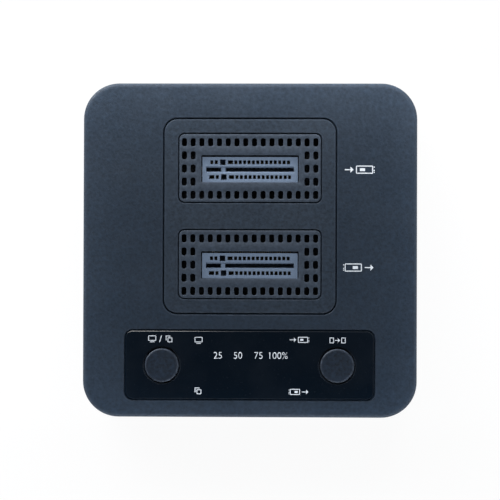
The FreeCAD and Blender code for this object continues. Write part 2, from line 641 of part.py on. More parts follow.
def make_top_shell():
    body = new_body("top_shell")
    outline = new_sketch(body, "shell_outline", z="parting_height")
    rounded_rectangle(outline, "body_width", "body_depth", "corner_radius")
    pad(body, "shell_block", outline, "body_height - parting_height")
    round_edges(body, "top_round", edges_at(body, "body_height"), "top_edge_radius")
    bevel(body, "parting_bevel", edges_at(body, "parting_height"), "parting_chamfer")

    cavity = new_sketch(body, "shell_cavity_outline", z="parting_height")
    rounded_rectangle(
        cavity, "body_width - 2 * side_wall", "body_depth - 2 * side_wall", "corner_radius - side_wall"
    )
    pocket(body, "shell_cavity", cavity, f"{roof_inside} - parting_height", upward_cut=True)

    # posts for the case screws, tied to the walls by ribs
    posts = new_sketch(body, "corner_post_circles", z="post_joint_height")
    for x, y in four_corners(corner_post_x, corner_post_y):
        circle(posts, "corner_post_diameter", x, y)
    pad(body, "corner_posts", posts, f"{roof_inside} - post_joint_height")
    rib_bottom = "(parting_height + lip_height + rib_clearance)"
    side_ribs = new_sketch(body, "side_rib_outlines", z=rib_bottom)
    rear_ribs = new_sketch(body, "rear_rib_outlines", z=rib_bottom)
    rib_reach = "(corner_post_inset - side_wall / 2)"
    side_rib_x = f"({corner_post_x} + {rib_reach} / 2)"
    rear_rib_y = f"({corner_post_y} + {rib_reach} / 2)"
    for x, y in four_corners(side_rib_x, corner_post_y):
        rectangle(side_ribs, rib_reach, "post_rib", x, y)
    for x, y in four_corners(corner_post_x, rear_rib_y):
        rectangle(rear_ribs, "post_rib", rib_reach, x, y)
    pad(body, "side_ribs", side_ribs, f"{roof_inside} - {rib_bottom}")
    pad(body, "rear_ribs", rear_ribs, f"{roof_inside} - {rib_bottom}")
    screw_holes = new_sketch(body, "corner_hole_circles", z="post_joint_height")
    for x, y in four_corners(corner_post_x, corner_post_y):
        circle(screw_holes, "case_screw_diameter + 2 * thread_clearance", x, y)
    hole_depth = f"case_screw_length + screw_hole_spare + {screw_seat} - post_joint_height"
    pocket(body, "corner_holes", screw_holes, hole_depth, upward_cut=True)

    # posts that the main board hangs from
    board_posts = new_sketch(body, "board_post_circles", z=board_top)
    board_holes = new_sketch(body, "board_hole_circles", z=board_top)
    for x, y in four_corners(board_post_x, board_post_y):
        circle(board_posts, "board_post_diameter", x, y)
        circle(board_holes, "board_screw_diameter + 2 * thread_clearance", x, y)
    pad(body, "board_posts", board_posts, f"{roof_inside} - {board_top}")
    board_hole_depth = "board_screw_length - board_thickness + screw_hole_spare"
    pocket(body, "board_holes", board_holes, board_hole_depth, upward_cut=True)

    # opening for the bay frame and the stakes that hold its ears
    opening = new_sketch(body, "bay_opening_outline", z="body_height")
    opening_width = f"({bay_width} + 2 * bay_gap)"
    opening_length = f"({bay_length} + 2 * bay_gap)"
    rounded_rectangle(
        opening, opening_width, opening_length, "bay_corner_radius + bay_gap", y=bay_y
    )
    pocket(body, "bay_opening", opening, "top_wall")
    rim = edges_at(body, "body_height", f"{opening_width} / 2", bay_y, f"{opening_length} / 2")
    bevel(body, "bay_opening_bevel", rim, "bay_chamfer")
    stakes = new_sketch(body, "stake_circles", z=flange_bottom)
    heads = new_sketch(body, "stake_head_circles", z=flange_bottom)
    for side in (-1, 1):
        for end in (-1, 1):
            stake_x = f"({side} * {ear_x})"
            stake_y = f"({bay_y} + {end} * ear_spacing / 2)"
            circle(stakes, "stake_diameter", stake_x, stake_y)
            circle(heads, "stake_head", stake_x, stake_y)
    pad(body, "stakes", stakes, "flange_thickness")
    pad(body, "stake_heads", heads, "stake_head_height", downward=True)

    # pocket for the control panel, with holes for the keys and the lights
    recess = new_sketch(body, "panel_recess_outline", z="body_height")
    recess_width = "(overlay_width + 2 * overlay_gap)"
    recess_length = "(overlay_length + 2 * overlay_gap)"
    rounded_rectangle(
        recess, recess_width, recess_length, "overlay_radius + overlay_gap", y=overlay_y
    )
    pocket(body, "panel_recess", recess, "overlay_recess")
    rim = edges_at(body, "body_height", f"{recess_width} / 2", overlay_y, f"{recess_length} / 2")
    bevel(body, "panel_recess_bevel", rim, "recess_chamfer")
    key_holes = new_sketch(body, "key_hole_circles", z=recess_floor)
    for x in keys.values():
        circle(key_holes, key_hole, x, key_y)
    pocket(body, "key_holes", key_holes, "top_wall - overlay_recess")
    light_holes = new_sketch(body, "light_hole_outlines", z=recess_floor)
    for x, y in lights.values():
        rectangle(light_holes, "light_hole", "light_hole", x, f"{overlay_y} + {y}")
    pocket(body, "light_holes", light_holes, "top_wall - overlay_recess")

    # rear wall: USB-C socket, power jack and power switch
    rear = {"plane": "XZ_Plane", "z": f"-{half_depth}"}
    usb_opening = new_sketch(body, "usb_opening_outline", **rear)
    obround(
        usb_opening, "usb_width + 2 * usb_opening_gap", "usb_height + 2 * usb_opening_gap", "0", usb_axis
    )
    pocket(body, "usb_opening", usb_opening, "side_wall", upward_cut=True)
    jack_opening = new_sketch(body, "jack_opening_circle", **rear)
    circle(jack_opening, "jack_nose + 2 * jack_hole_gap", "jack_x", jack_axis)
    pocket(body, "jack_opening", jack_opening, "side_wall", upward_cut=True)
    power_opening = new_sketch(body, "power_opening_outline", **rear)
    rectangle(power_opening, nub_slot, nub_slot_height, "power_x", power_axis)
    pocket(body, "power_opening", power_opening, "side_wall", upward_cut=True)


def make_bottom_cover():
    body = new_body("bottom_cover")
    outline = new_sketch(body, "cover_outline", z=foot_stand)
    rounded_rectangle(outline, "body_width", "body_depth", "corner_radius")
    pad(body, "cover_block", outline, f"parting_height - {foot_stand}")
    round_edges(body, "bottom_round", edges_at(body, foot_stand), "bottom_edge_radius")
    bevel(body, "cover_bevel", edges_at(body, "parting_height"), "parting_chamfer")

    cavity = new_sketch(body, "cover_cavity_outline", z="parting_height")
    inner = ("body_width - 2 * " + lip_inside, "body_depth - 2 * " + lip_inside)
    rounded_rectangle(cavity, *inner, "corner_radius - " + lip_inside)
    pocket(body, "cover_cavity", cavity, f"parting_height - {cover_floor}")
    lip = new_sketch(body, "lip_outline", z="parting_height")
    outer = ("body_width - 2 * " + lip_outside, "body_depth - 2 * " + lip_outside)
    rounded_rectangle(lip, *outer, "corner_radius - " + lip_outside)
    rounded_rectangle(lip, *inner, "corner_radius - " + lip_inside)
    pad(body, "lip", lip, "lip_height")

    # the tongue stops short of the power jack
    notch = new_sketch(body, "jack_notch_outline", z=jack_notch_floor)
    notch_length = f"({lip_inside} - side_wall)"
    notch_y = f"{half_depth} - side_wall - {notch_length} / 2"
    rectangle(notch, "jack_width + 2 * jack_lip_gap", notch_length, "jack_x", notch_y)
    notch_height = f"parting_height + lip_height - {jack_notch_floor}"
    pocket(body, "jack_notch", notch, notch_height, upward_cut=True)

    posts = new_sketch(body, "base_post_circles", z=cover_floor)
    recesses = new_sketch(body, "foot_recess_circles", z=foot_stand)
    counterbores = new_sketch(body, "counterbore_circles", z=foot_stand)
    holes = new_sketch(body, "case_hole_circles", z=foot_stand)
    for x, y in four_corners(corner_post_x, corner_post_y):
        circle(posts, "base_post_diameter", x, y)
        circle(recesses, "foot_diameter + 2 * foot_clearance", x, y)
        circle(counterbores, "case_screw_head + 2 * head_clearance", x, y)
        circle(holes, "case_screw_diameter + 2 * screw_clearance", x, y)
    pad(body, "base_posts", posts, f"post_joint_height - {cover_floor}")
    pocket(body, "foot_recesses", recesses, "foot_recess", upward_cut=True)
    pocket(body, "counterbores", counterbores, "foot_recess + counterbore_depth", upward_cut=True)
    pocket(body, "case_holes", holes, f"post_joint_height - {foot_stand}", upward_cut=True)

    slot = new_sketch(body, "floor_slot_outline", z=foot_stand)
    rectangle(slot, "floor_slot_width", "floor_slot_length", "(1 - floor_slots) / 2 * floor_slot_pitch")
    first = pocket(body, "floor_slot", slot, "base_wall", upward_cut=True)
    repeat(body, "floor_slots_row", first, "floor_slot_pitch", "floor_slots")


def make_feet():
    """Rubber feet, pressed into pockets over the case screws."""
    radius = "foot_diameter / 2"
    for end, end_sign in (("front", -1), ("rear", 1)):
        for side, side_sign in (("left", -1), ("right", 1)):
            body = new_body(f"foot_{end}_{side}")
            profile = new_sketch(body, f"foot_{end}_{side}_profile", "XZ_Plane")
            polygon(profile, [
                ("0", "0"),
                (f"{radius} - foot_edge", "0"),
                (radius, "foot_edge"),
                (radius, "foot_thickness"),
                ("0", "foot_thickness"),
            ])
            revolve(body, f"foot_{end}_{side}_turned", profile)
            place(body, f"{side_sign} * {corner_post_x}", f"{end_sign} * {corner_post_y}")


def make_screws(label, x, y, z, diameter, length, head, head_height):
    """Four pan-head self-tapping screws, heads down, with cross recesses."""
    body = new_body(label)
    profile = new_sketch(body, f"{label}_profile", "XZ_Plane", x=x, z=f"-{y}")
    head_bevel = f"({head_height} / 3)"
    tip_radius = f"({diameter} / 4)"
    cross_depth = f"({head_height} / 2)"
    polygon(profile, [
        ("0", f"-{head_height}"),
        (f"{head} / 2 - {head_bevel}", f"-{head_height}"),
        (f"{head} / 2", f"{head_bevel} - {head_height}"),
        (f"{head} / 2", "0"),
        (f"{diameter} / 2", "0"),
        (f"{diameter} / 2", f"{length} - screw_tip"),
        (tip_radius, length),
        ("0", length),
    ])
    turned = revolve(body, f"{label}_turned", profile)
    arm = f"({head} / 4)"
    half = "(cross_width / 2)"
    cross = new_sketch(body, f"{label}_cross", x=x, y=y, z=f"-{head_height}")
    polygon(cross, [
        (arm, f"-{half}"), (arm, half), (half, half), (half, arm),
        (f"-{half}", arm), (f"-{half}", half), (f"-{arm}", half), (f"-{arm}", f"-{half}"),
        (f"-{half}", f"-{half}"), (f"-{half}", f"-{arm}"), (half, f"-{arm}"), (half, f"-{half}"),
    ])
    recess = pocket(body, f"{label}_recess", cross, cross_depth, upward_cut=True)
    mirror(body, f"{label}_corners", [turned, recess], ("YZ_Plane", "XZ_Plane"))
    place(body, z=z)


# ---------------------------------------------------------------- bays


def make_bay_frame():
    """Frame flush with the top face, hung by a staked flange under the shell."""
    body = new_body("bay_frame")
    flange = new_sketch(body, "flange_outline", z="-top_wall")
    rounded_rectangle(
        flange,
        f"{bay_width} + 2 * flange_width",
        f"{bay_length} + 2 * flange_width",
        "bay_corner_radius + flange_width",
    )
    pad(body, "flange", flange, "flange_thickness", downward=True)
    for name, sign in (("front_ears", -1), ("rear_ears", 1)):
        ears = new_sketch(body, f"{name}_outline", z="-top_wall")
        obround(ears, f"2 * {ear_x} + ear_width", "ear_width", "0", f"{sign} * ear_spacing / 2")
        pad(body, name, ears, "flange_thickness", downward=True)
    plate = new_sketch(body, "frame_outline")
    rounded_rectangle(plate, bay_width, bay_length, "bay_corner_radius")
    pad(body, "frame_plate", plate, "top_wall", downward=True)
    bevel(body, "frame_bevel", edges_at(body, "0"), "bay_chamfer")

    recesses = new_sketch(body, "grille_recess_outlines")
    openings = new_sketch(body, "grille_opening_outlines", z="-grille_thickness")
    recess_width = f"({grille_width} + 2 * grille_gap)"
    recess_length = f"({grille_length} + 2 * grille_gap)"
    for sign in (-1, 1):
        y = f"({sign} * bay_pitch / 2)"
        rounded_rectangle(
            recesses, recess_width, recess_length, "grille_radius + grille_gap", y=y
        )
        rounded_rectangle(
            openings,
            f"{grille_width} - 2 * grille_ledge",
            f"{grille_length} - 2 * grille_ledge",
            "grille_radius - grille_ledge",
            y=y,
        )
    pocket(body, "grille_recesses", recesses, "grille_thickness")
    rims = []
    for sign in (-1, 1):
        middle = f"({sign} * bay_pitch / 2)"
        rims += edges_at(body, "0", f"{recess_width} / 2", middle, f"{recess_length} / 2")
    bevel(body, "grille_recess_bevel", rims, "grille_chamfer")
    pocket(body, "grille_openings", openings, "top_wall + flange_thickness - grille_thickness")

    holes = new_sketch(body, "stake_hole_circles", z="-top_wall")
    for x, y in four_corners(ear_x, "ear_spacing / 2"):
        circle(holes, "stake_diameter + 2 * stake_clearance", x, y)
    pocket(body, "stake_holes", holes, "flange_thickness")
    place(body, "0", bay_y, "body_height")


def vent_outline(sketch, x, y):
    """One cooling hole: a rectangle with bevelled corners."""
    left = f"({x}) - vent_width / 2"
    right = f"({x}) + vent_width / 2"
    front = f"({y}) - vent_length / 2"
    rear = f"({y}) + vent_length / 2"
    polygon(sketch, [
        (f"{left} + vent_corner", front), (f"{right} - vent_corner", front),
        (right, f"{front} + vent_corner"), (right, f"{rear} - vent_corner"),
        (f"{right} - vent_corner", rear), (f"{left} + vent_corner", rear),
        (left, f"{rear} - vent_corner"), (left, f"{front} + vent_corner"),
    ])


def make_grille():
    """Vent plate: full rows at both ends, short rows beside the socket's window."""
    body = new_body("target_grille")
    plate = new_sketch(body, "plate_outline")
    rounded_rectangle(plate, grille_width, grille_length, "grille_radius")
    pad(body, "plate", plate, "grille_thickness", downward=True)
    bevel(body, "plate_bevel", edges_at(body, "0"), "grille_chamfer")
    window = new_sketch(body, "window_outline")
    rounded_rectangle(
        window,
        f"{socket_width} + 2 * socket_window_gap",
        "socket_depth + 2 * socket_window_gap",
        "window_radius",
        y="-window_shift",
    )
    pocket(body, "window", window, "grille_thickness")

    first_x = "((1 - vent_columns) / 2 * vent_pitch_x)"
    first_y = "((1 - vent_rows) / 2 * vent_pitch_y)"
    right_x = f"({first_x} + (vent_columns - vent_end_columns) * vent_pitch_x)"
    for end, x in (("left", first_x), ("right", right_x)):
        side_hole = new_sketch(body, f"{end}_hole_outline")
        vent_outline(side_hole, x, f"({first_y} + vent_pitch_y)")
        side = pocket(body, f"{end}_hole", side_hole, "grille_thickness")
        columns = ("vent_pitch_x", "vent_end_columns")
        grid(body, f"{end}_holes", [side], columns, ("vent_pitch_y", "vent_rows - 2"))
    corner_hole = new_sketch(body, "corner_hole_outline")
    vent_outline(corner_hole, first_x, first_y)
    corner = pocket(body, "corner_hole", corner_hole, "grille_thickness")
    full_rows = ("(vent_rows - 1) * vent_pitch_y", "2")
    grid(body, "full_rows", [corner], ("vent_pitch_x", "vent_columns"), full_rows)
    return body


def cut_window(body, name, sign, middle, contacts, copies="1"):
    """Cavity for neighbouring contacts: open below, into the slot and through a window on top."""
    inside = f"({sign} * (slot_thickness / 2 - window_margin))"
    near = f"({sign} * (window_row - window_length / 2))"
    far = f"({sign} * (window_row + window_length / 2))"
    roof = "(socket_height - window_roof)"
    above = "(socket_height + slot_lead_in)"
    profile = new_sketch(body, f"{name}_profile", "YZ_Plane", z=middle)
    polygon(profile, [
        (inside, "0"), (inside, roof), (near, roof), (near, above), (far, above), (far, "0")
    ])
    width = f"(({contacts} - 1) * contact_pitch + 2 * window_margin)"
    cut = pocket(body, name, profile, width, both_ways=True)
    if copies != "1":
        repeat(body, f"{name}_row", cut, "2 * contact_pitch", copies)


def make_socket_housing():
    """Upright M-key socket: slot with a key rib between two rows of contact windows."""
    body = new_body("target_socket_housing")
    outline = new_sketch(body, "socket_outline")
    rectangle(outline, socket_width, "socket_depth")
    pad(body, "socket_block", outline, "socket_height")
    relief = new_sketch(body, "tail_relief_outline")
    rectangle(relief, f"{socket_width} - 2 * socket_foot", "2 * socket_depth")
    pocket(body, "tail_relief", relief, "socket_standoff", upward_cut=True)

    mouth = new_sketch(body, "slot_mouth_profile", "YZ_Plane")
    half = "(slot_thickness / 2)"
    polygon(mouth, [
        (f"-{half}", "socket_height - slot_lead_in"), (half, "socket_height - slot_lead_in"),
        (f"{half} + slot_lead_in", "socket_height"), (f"-{half} - slot_lead_in", "socket_height"),
    ])
    pocket(body, "slot_mouth", mouth, slot_length, both_ways=True)
    slot = new_sketch(body, "slot_outlines", z="socket_height")
    key_left = f"({key_x} - key_width / 2)"
    key_right = f"({key_x} + key_width / 2)"
    for start, end in ((f"(-{slot_length} / 2)", key_left), (key_right, f"({slot_length} / 2)")):
        rectangle(slot, f"({end} - {start})", "slot_thickness", f"({start} + {end}) / 2")
    pocket(body, "slot", slot, "slot_depth")
    squares = new_sketch(body, "key_pocket_outlines", z="socket_height")
    rectangle(squares, "key_pocket_width", "key_pocket_width", front_key_x, "-window_row")
    rectangle(squares, "key_pocket_width", "key_pocket_width", rear_key_x, "window_row")
    pocket(body, "key_pockets", squares, "key_pocket_depth")

    # the short bank's last two contacts share a window, and so do its others
    for row, sign, span, bank in contact_rows:
        first = f"(-{span} / 2)"
        long_first = f"({first} + ({bank} + key_positions) * contact_pitch)"
        outer = bank - 2
        cut_window(body, f"{row}_outer", sign, f"{first} + ({outer} - 1) / 2 * contact_pitch", outer)
        cut_window(body, f"{row}_key_pair", sign, f"{first} + ({bank} - 1.5) * contact_pitch", 2)
        cut_window(body, f"{row}_three", sign, f"{long_first} + contact_pitch", 3)
        pairs = f"{long_first} + 3.5 * contact_pitch"
        cut_window(body, f"{row}_pairs", sign, pairs, 2, "pair_windows")
    return body


def add_contacts(body, name, sign, first, count):
    """Row of bent strips: solder tail, riser, arm that leans into the slot, tip in the window."""
    tail = f"({sign} * (socket_depth / 2 + contact_tail))"
    back = f"({sign} * (window_row + window_length / 2 - window_margin))"
    face = f"({sign} * (window_row + window_length / 2 - window_margin - contact_thickness))"
    touch = f"({sign} * contact_reach)"
    touch_back = f"({sign} * (contact_reach + contact_thickness))"
    tip = f"({sign} * (window_row - contact_thickness))"
    tip_back = f"({sign} * window_row)"
    elbow = "contact_elbow"
    touch_height = "(socket_height - contact_touch)"
    tip_height = "(socket_height - contact_top_gap)"
    profile = new_sketch(body, f"{name}_profile", "YZ_Plane", z=first)
    polygon(profile, [
        (tail, "0"), (face, "0"), (face, elbow), (touch, touch_height), (tip, tip_height),
        (tip_back, tip_height), (touch_back, touch_height), (back, elbow),
        (back, "contact_thickness"), (tail, "contact_thickness"),
    ])
    strip = pad(body, name, profile, "contact_width", both_ways=True)
    repeat(body, f"{name}_row", strip, "contact_pitch", count)


def make_socket_contacts():
    body = new_body("target_socket_contacts")
    for row, sign, span, bank in contact_rows:
        first = f"(-{span} / 2)"
        long_first = f"({first} + ({bank} + key_positions) * contact_pitch)"
        add_contacts(body, f"{row}_short_contact", sign, first, bank)
        add_contacts(body, f"{row}_long_contact", sign, long_first, long_bank)
    return body


def make_socket_anchors():
    """Soldered angle plates against both ends of the socket."""
    body = new_body("target_socket_anchors")
    end = f"({socket_width} / 2)"
    profile = new_sketch(body, "anchor_profile", "XZ_Plane")
    polygon(profile, [
        (end, "0"), (f"{end} + anchor_foot", "0"), (f"{end} + anchor_foot", "anchor_thickness"),
        (f"{end} + anchor_thickness", "anchor_thickness"),
        (f"{end} + anchor_thickness", "anchor_height"), (end, "anchor_height"),
    ])
    plate = pad(body, "anchor", profile, "anchor_width", both_ways=True)
    mirror(body, "anchor_pair", [plate], ("YZ_Plane",))
    return body


def make_bays():
    """The target bay's pieces, and copies of them for the source bay."""
    grille = make_grille()
    socket_pieces = [make_socket_housing(), make_socket_contacts(), make_socket_anchors()]
    for bay, y in bays.items():
        if bay == "source":
            grille = copy_body("source_grille", grille)
            names = [piece.Label.replace("target", "source") for piece in socket_pieces]
            socket_pieces = [copy_body(*pair) for pair in zip(names, socket_pieces)]
        place(grille, "0", y, "body_height")
        for piece in socket_pieces:
            place(piece, "0", f"{y} - window_shift - socket_shift", board_top)


# ---------------------------------------------------------------- control panel


def make_control_overlay():
    body = new_body("control_overlay")
    outline = new_sketch(body, "overlay_outline")
    rounded_rectangle(outline, "overlay_width", "overlay_length", "overlay_radius")
    pad(body, "overlay_sheet", outline, "overlay_thickness")
    bevel(body, "overlay_bevel", edges_at(body, "overlay_thickness"), "overlay_chamfer")
    holes = new_sketch(body, "overlay_hole_circles", z="overlay_thickness")
    for x in keys.values():
        circle(holes, panel_hole, x, "button_row")
    pocket(body, "overlay_holes", holes, "overlay_thickness")
    place(body, "0", overlay_y, f"{recess_floor} + adhesive_thickness")


def make_overlay_adhesive():
    """Thin sheet between panel and shell, open round the keys and over the lights."""
    body = new_body("overlay_adhesive")
    outline = new_sketch(body, "adhesive_outline")
    rounded_rectangle(
        outline,
        "overlay_width - 2 * adhesive_margin",
        "overlay_length - 2 * adhesive_margin",
        "overlay_radius - adhesive_margin",
    )
    pad(body, "adhesive_sheet", outline, "adhesive_thickness")
    holes = new_sketch(body, "adhesive_hole_outlines", z="adhesive_thickness")
    for x in keys.values():
        circle(holes, panel_hole, x, "button_row")
    rectangle(holes, "2 * side_light_x + light_well", "2 * side_light_y + light_well")
    pocket(body, "adhesive_holes", holes, "adhesive_thickness")
    place(body, "0", overlay_y, recess_floor)


def make_button(key):
    """Round key: cap, flange that holds it under the shell, and stem down to its switch."""
    body = new_body(f"{key}_button")
    flange_top = f"({roof_inside} - button_lift_gap)"
    flange_under = f"({flange_top} - button_flange_thickness)"
    cap_top = "(body_height + button_proud)"
    cap = "(button_diameter / 2)"
    profile = new_sketch(body, f"{key}_button_profile", "XZ_Plane")
    polygon(profile, [
        ("0", plunger_top), ("button_stem / 2", plunger_top), ("button_stem / 2", flange_under),
        (f"{cap} + button_flange", flange_under), (f"{cap} + button_flange", flange_top),
        (cap, flange_top), (cap, cap_top), ("0", cap_top),
    ])
    revolve(body, f"{key}_button_turned", profile)
    round_edges(body, f"{key}_button_rim", edges_at(body, cap_top), "button_edge")
    place(body, keys[key], key_y)


def make_key_switch(key):
    """Tact switch on the board: a square base with a well, and the plunger under the key."""
    base = new_body(f"{key}_switch_base")
    outline = new_sketch(base, f"{key}_switch_outline")
    rectangle(outline, "switch_width", "switch_width")
    pad(base, f"{key}_switch_block", outline, "switch_height")
    bevel(base, f"{key}_switch_corners", upright_edges(base, "switch_height"), "switch_corner")
    well = new_sketch(base, f"{key}_well_circle", z="switch_height")
    circle(well, "plunger_diameter + 2 * plunger_clearance")
    pocket(base, f"{key}_well", well, "switch_well")
    place(base, keys[key], key_y, board_top)

    plunger = document.addObject("Part::Cylinder", f"{key}_switch_plunger")
    plunger.setExpression("Radius", bound("plunger_diameter / 2"))
    plunger.setExpression("Height", bound("plunger_rise + plunger_sink"))
    place(plunger, keys[key], key_y, f"{switch_top} - plunger_sink")
    parts.append(plunger)


def make_light_baffle():
    """Black block from the board to the roof, with a well over each light."""
    body = new_body("light_baffle")
    outline = new_sketch(body, "baffle_outline")
    rim = "(light_well + 2 * baffle_border)"
    rectangle(outline, f"2 * side_light_x + {rim}", f"2 * side_light_y + {rim}")
    pad(body, "baffle_block", outline, f"{roof_inside} - {board_top}")
    wells = new_sketch(body, "light_well_outlines")
    for x, y in lights.values():
        rectangle(wells, "light_well", "light_well", x, y)
    pocket(body, "light_wells", wells, f"{roof_inside} - {board_top}", upward_cut=True)
    place(body, "0", overlay_y, board_top)


def make_lights():
    for label, (x, y) in lights.items():
        block(label, "light_length", "light_width", "light_height", x, f"{overlay_y} + {y}", board_top)


# ---------------------------------------------------------------- main board


def make_main_board():
    body = new_body("main_board")
    outline = new_sketch(body, "board_outline")
    notch = "(corner_post_diameter / 2 + board_notch_gap)"
    near_x = f"({corner_post_x} - {notch})"
    near_y = f"({corner_post_y} - {notch})"
    wide = board_half_width
    deep = board_half_depth
    polygon(outline, [
        (near_x, f"-{deep}"), (near_x, f"-{near_y}"), (wide, f"-{near_y}"),
        (wide, near_y), (near_x, near_y), (near_x, deep),
        (f"-{near_x}", deep), (f"-{near_x}", near_y), (f"-{wide}", near_y),
        (f"-{wide}", f"-{near_y}"), (f"-{near_x}", f"-{near_y}"), (f"-{near_x}", f"-{deep}"),
    ])
    pad(body, "board_sheet", outline, "board_thickness")
    holes = new_sketch(body, "board_clearance_circles", z="board_thickness")
    for x, y in four_corners(board_post_x, board_post_y):
        circle(holes, "board_screw_diameter + 2 * screw_clearance", x, y)
    pocket(body, "board_clearance_holes", holes, "board_thickness")
    place(body, z=board_bottom)


def make_parts_under_board():
    """Chips, chokes and the input capacitor hang from the underside of the board."""
    chip_bottom = f"({board_bottom} - chip_height)"
    chips = {
        "target_bridge_chip": bays["target"],
        "source_bridge_chip": bays["source"],
        "copy_controller_chip": f"({bays['source']} - chip_line_gap)",
    }
    for label, y in chips.items():
        block(label, "chip_width", "chip_width", "chip_height", "0", y, chip_bottom)
    for bay, y in bays.items():
        choke = new_body(f"{bay}_choke")
        outline = new_sketch(choke, f"{bay}_choke_outline")
        rectangle(outline, "choke_width", "choke_width")
        pad(choke, f"{bay}_choke_block", outline, "choke_height")
        bevel(choke, f"{bay}_choke_corners", upright_edges(choke, "choke_height"), "choke_edge")
        place(choke, "choke_x", y, f"{board_bottom} - choke_height")

    can = new_body("input_capacitor")
    radius = "(capacitor_diameter / 2)"
    profile = new_sketch(can, "capacitor_profile", "XZ_Plane")
    polygon(profile, [
        ("0", "0"), (f"{radius} - capacitor_groove", "0"), (radius, "capacitor_groove"),
        (radius, "capacitor_length - 4 * capacitor_groove"),
        (f"{radius} - capacitor_groove", "capacitor_length - 3 * capacitor_groove"),
        (radius, "capacitor_length - 2 * capacitor_groove"),
        (radius, "capacitor_length"), ("0", "capacitor_length"),
    ])
    revolve(can, "capacitor_turned", profile)
    place(can, "jack_x", f"{jack_back} - capacitor_gap - {radius}", f"{board_bottom} - capacitor_length")


# ---------------------------------------------------------------- rear connectors


def make_usb_c():
    """USB-C socket: an oval metal tube round a plastic block with its tongue."""
    shell = new_body("usb_c_shell")
    ring = new_sketch(shell, "usb_shell_outline", "XZ_Plane")
    obround(ring, "usb_width", "usb_height")
    obround(ring, "usb_width - 2 * usb_wall", "usb_height - 2 * usb_wall")
    pad(shell, "usb_shell_tube", ring, "usb_length")
    place(shell, "0", usb_front, usb_axis)

    tongue = new_body("usb_c_tongue")
    back = new_sketch(tongue, "usb_block_outline", "XZ_Plane", z="usb_length - usb_block")
    inside = "(usb_wall + thread_clearance)"
    obround(back, f"usb_width - 2 * {inside}", f"usb_height - 2 * {inside}")
    pad(tongue, "usb_plastic_block", back, "usb_block")
    blade = new_sketch(tongue, "usb_tongue_outline", "XZ_Plane", z="usb_length - usb_block")
    rectangle(blade, "tongue_width", "tongue_thickness")
    pad(tongue, "usb_tongue_blade", blade, "tongue_length", downward=True)
    place(tongue, "0", usb_front, usb_axis)


def make_dc_jack():
    """Barrel jack: block with a round nose, centre pin and a leaf contact below the bore."""
    body = new_body("dc_jack_body")
    outline = new_sketch(body, "jack_outline", "XZ_Plane")
    rectangle(outline, "jack_width", "jack_height", "0", "jack_axis_drop - jack_height / 2")
    pad(body, "jack_block", outline, "jack_length", downward=True)
    nose = new_sketch(body, "jack_nose_circle", "XZ_Plane", z="-jack_length")
    circle(nose, "jack_nose")
    pad(body, "jack_nose_ring", nose, "jack_nose_length", downward=True)
    bore = new_sketch(body, "jack_bore_circle", "XZ_Plane", z=f"-{jack_total}")
    circle(bore, "jack_bore")
    pocket(body, "jack_bore_cut", bore, "jack_bore_depth", upward_cut=True)
    rivet = new_sketch(body, "jack_rivet_circle", "XZ_Plane", z=f"-{jack_bore_floor}")
    circle(rivet, "jack_rivet + 2 * thread_clearance")
    pocket(body, "jack_rivet_hole", rivet, jack_bore_floor, upward_cut=True)
    slot_middle = f"({jack_bore_floor} + jack_slot_length / 2)"
    slot = new_sketch(body, "leaf_slot_outline", z="jack_axis_drop - jack_height")
    rectangle(slot, "jack_slot_width", "jack_slot_length", "0", slot_middle)
    pocket(body, "leaf_slot", slot, "jack_height - jack_axis_drop", upward_cut=True)
    place(body, "jack_x", jack_back, jack_axis)

    pin = new_body("dc_jack_pin")
    profile = new_sketch(pin, "jack_pin_profile", "XY_Plane")
    tip = f"({jack_total} - jack_pin_inset)"
    tip_bevel = "(jack_pin / 8)"
    polygon(profile, [
        ("0", "0"), ("jack_rivet / 2", "0"), ("jack_rivet / 2", jack_bore_floor),
        ("jack_pin / 2", jack_bore_floor), ("jack_pin / 2", f"{tip} - {tip_bevel}"),
        (f"jack_pin / 2 - {tip_bevel}", tip), ("0", tip),
    ])
    revolve(pin, "jack_pin_turned", profile)
    place(pin, "jack_x", jack_back, jack_axis)

    leaf = new_body("dc_jack_spring")
    strip = new_sketch(leaf, "leaf_profile", "YZ_Plane")
    start = f"({jack_bore_floor} + leaf_clearance)"
    end = f"({jack_bore_floor} + jack_slot_length - leaf_clearance)"
    rest = "(-jack_bore / 2 - leaf_clearance)"
    crest = "(leaf_reach - jack_bore / 2)"
    polygon(strip, [
        (start, f"{rest} - leaf_thickness"), (slot_middle, f"{crest} - leaf_thickness"),
        (end, f"{rest} - leaf_thickness"), (end, rest), (slot_middle, crest), (start, rest),
    ])
    pad(leaf, "leaf_strip", strip, "jack_slot_width - 2 * leaf_clearance", both_ways=True)
    place(leaf, "jack_x", jack_back, jack_axis)


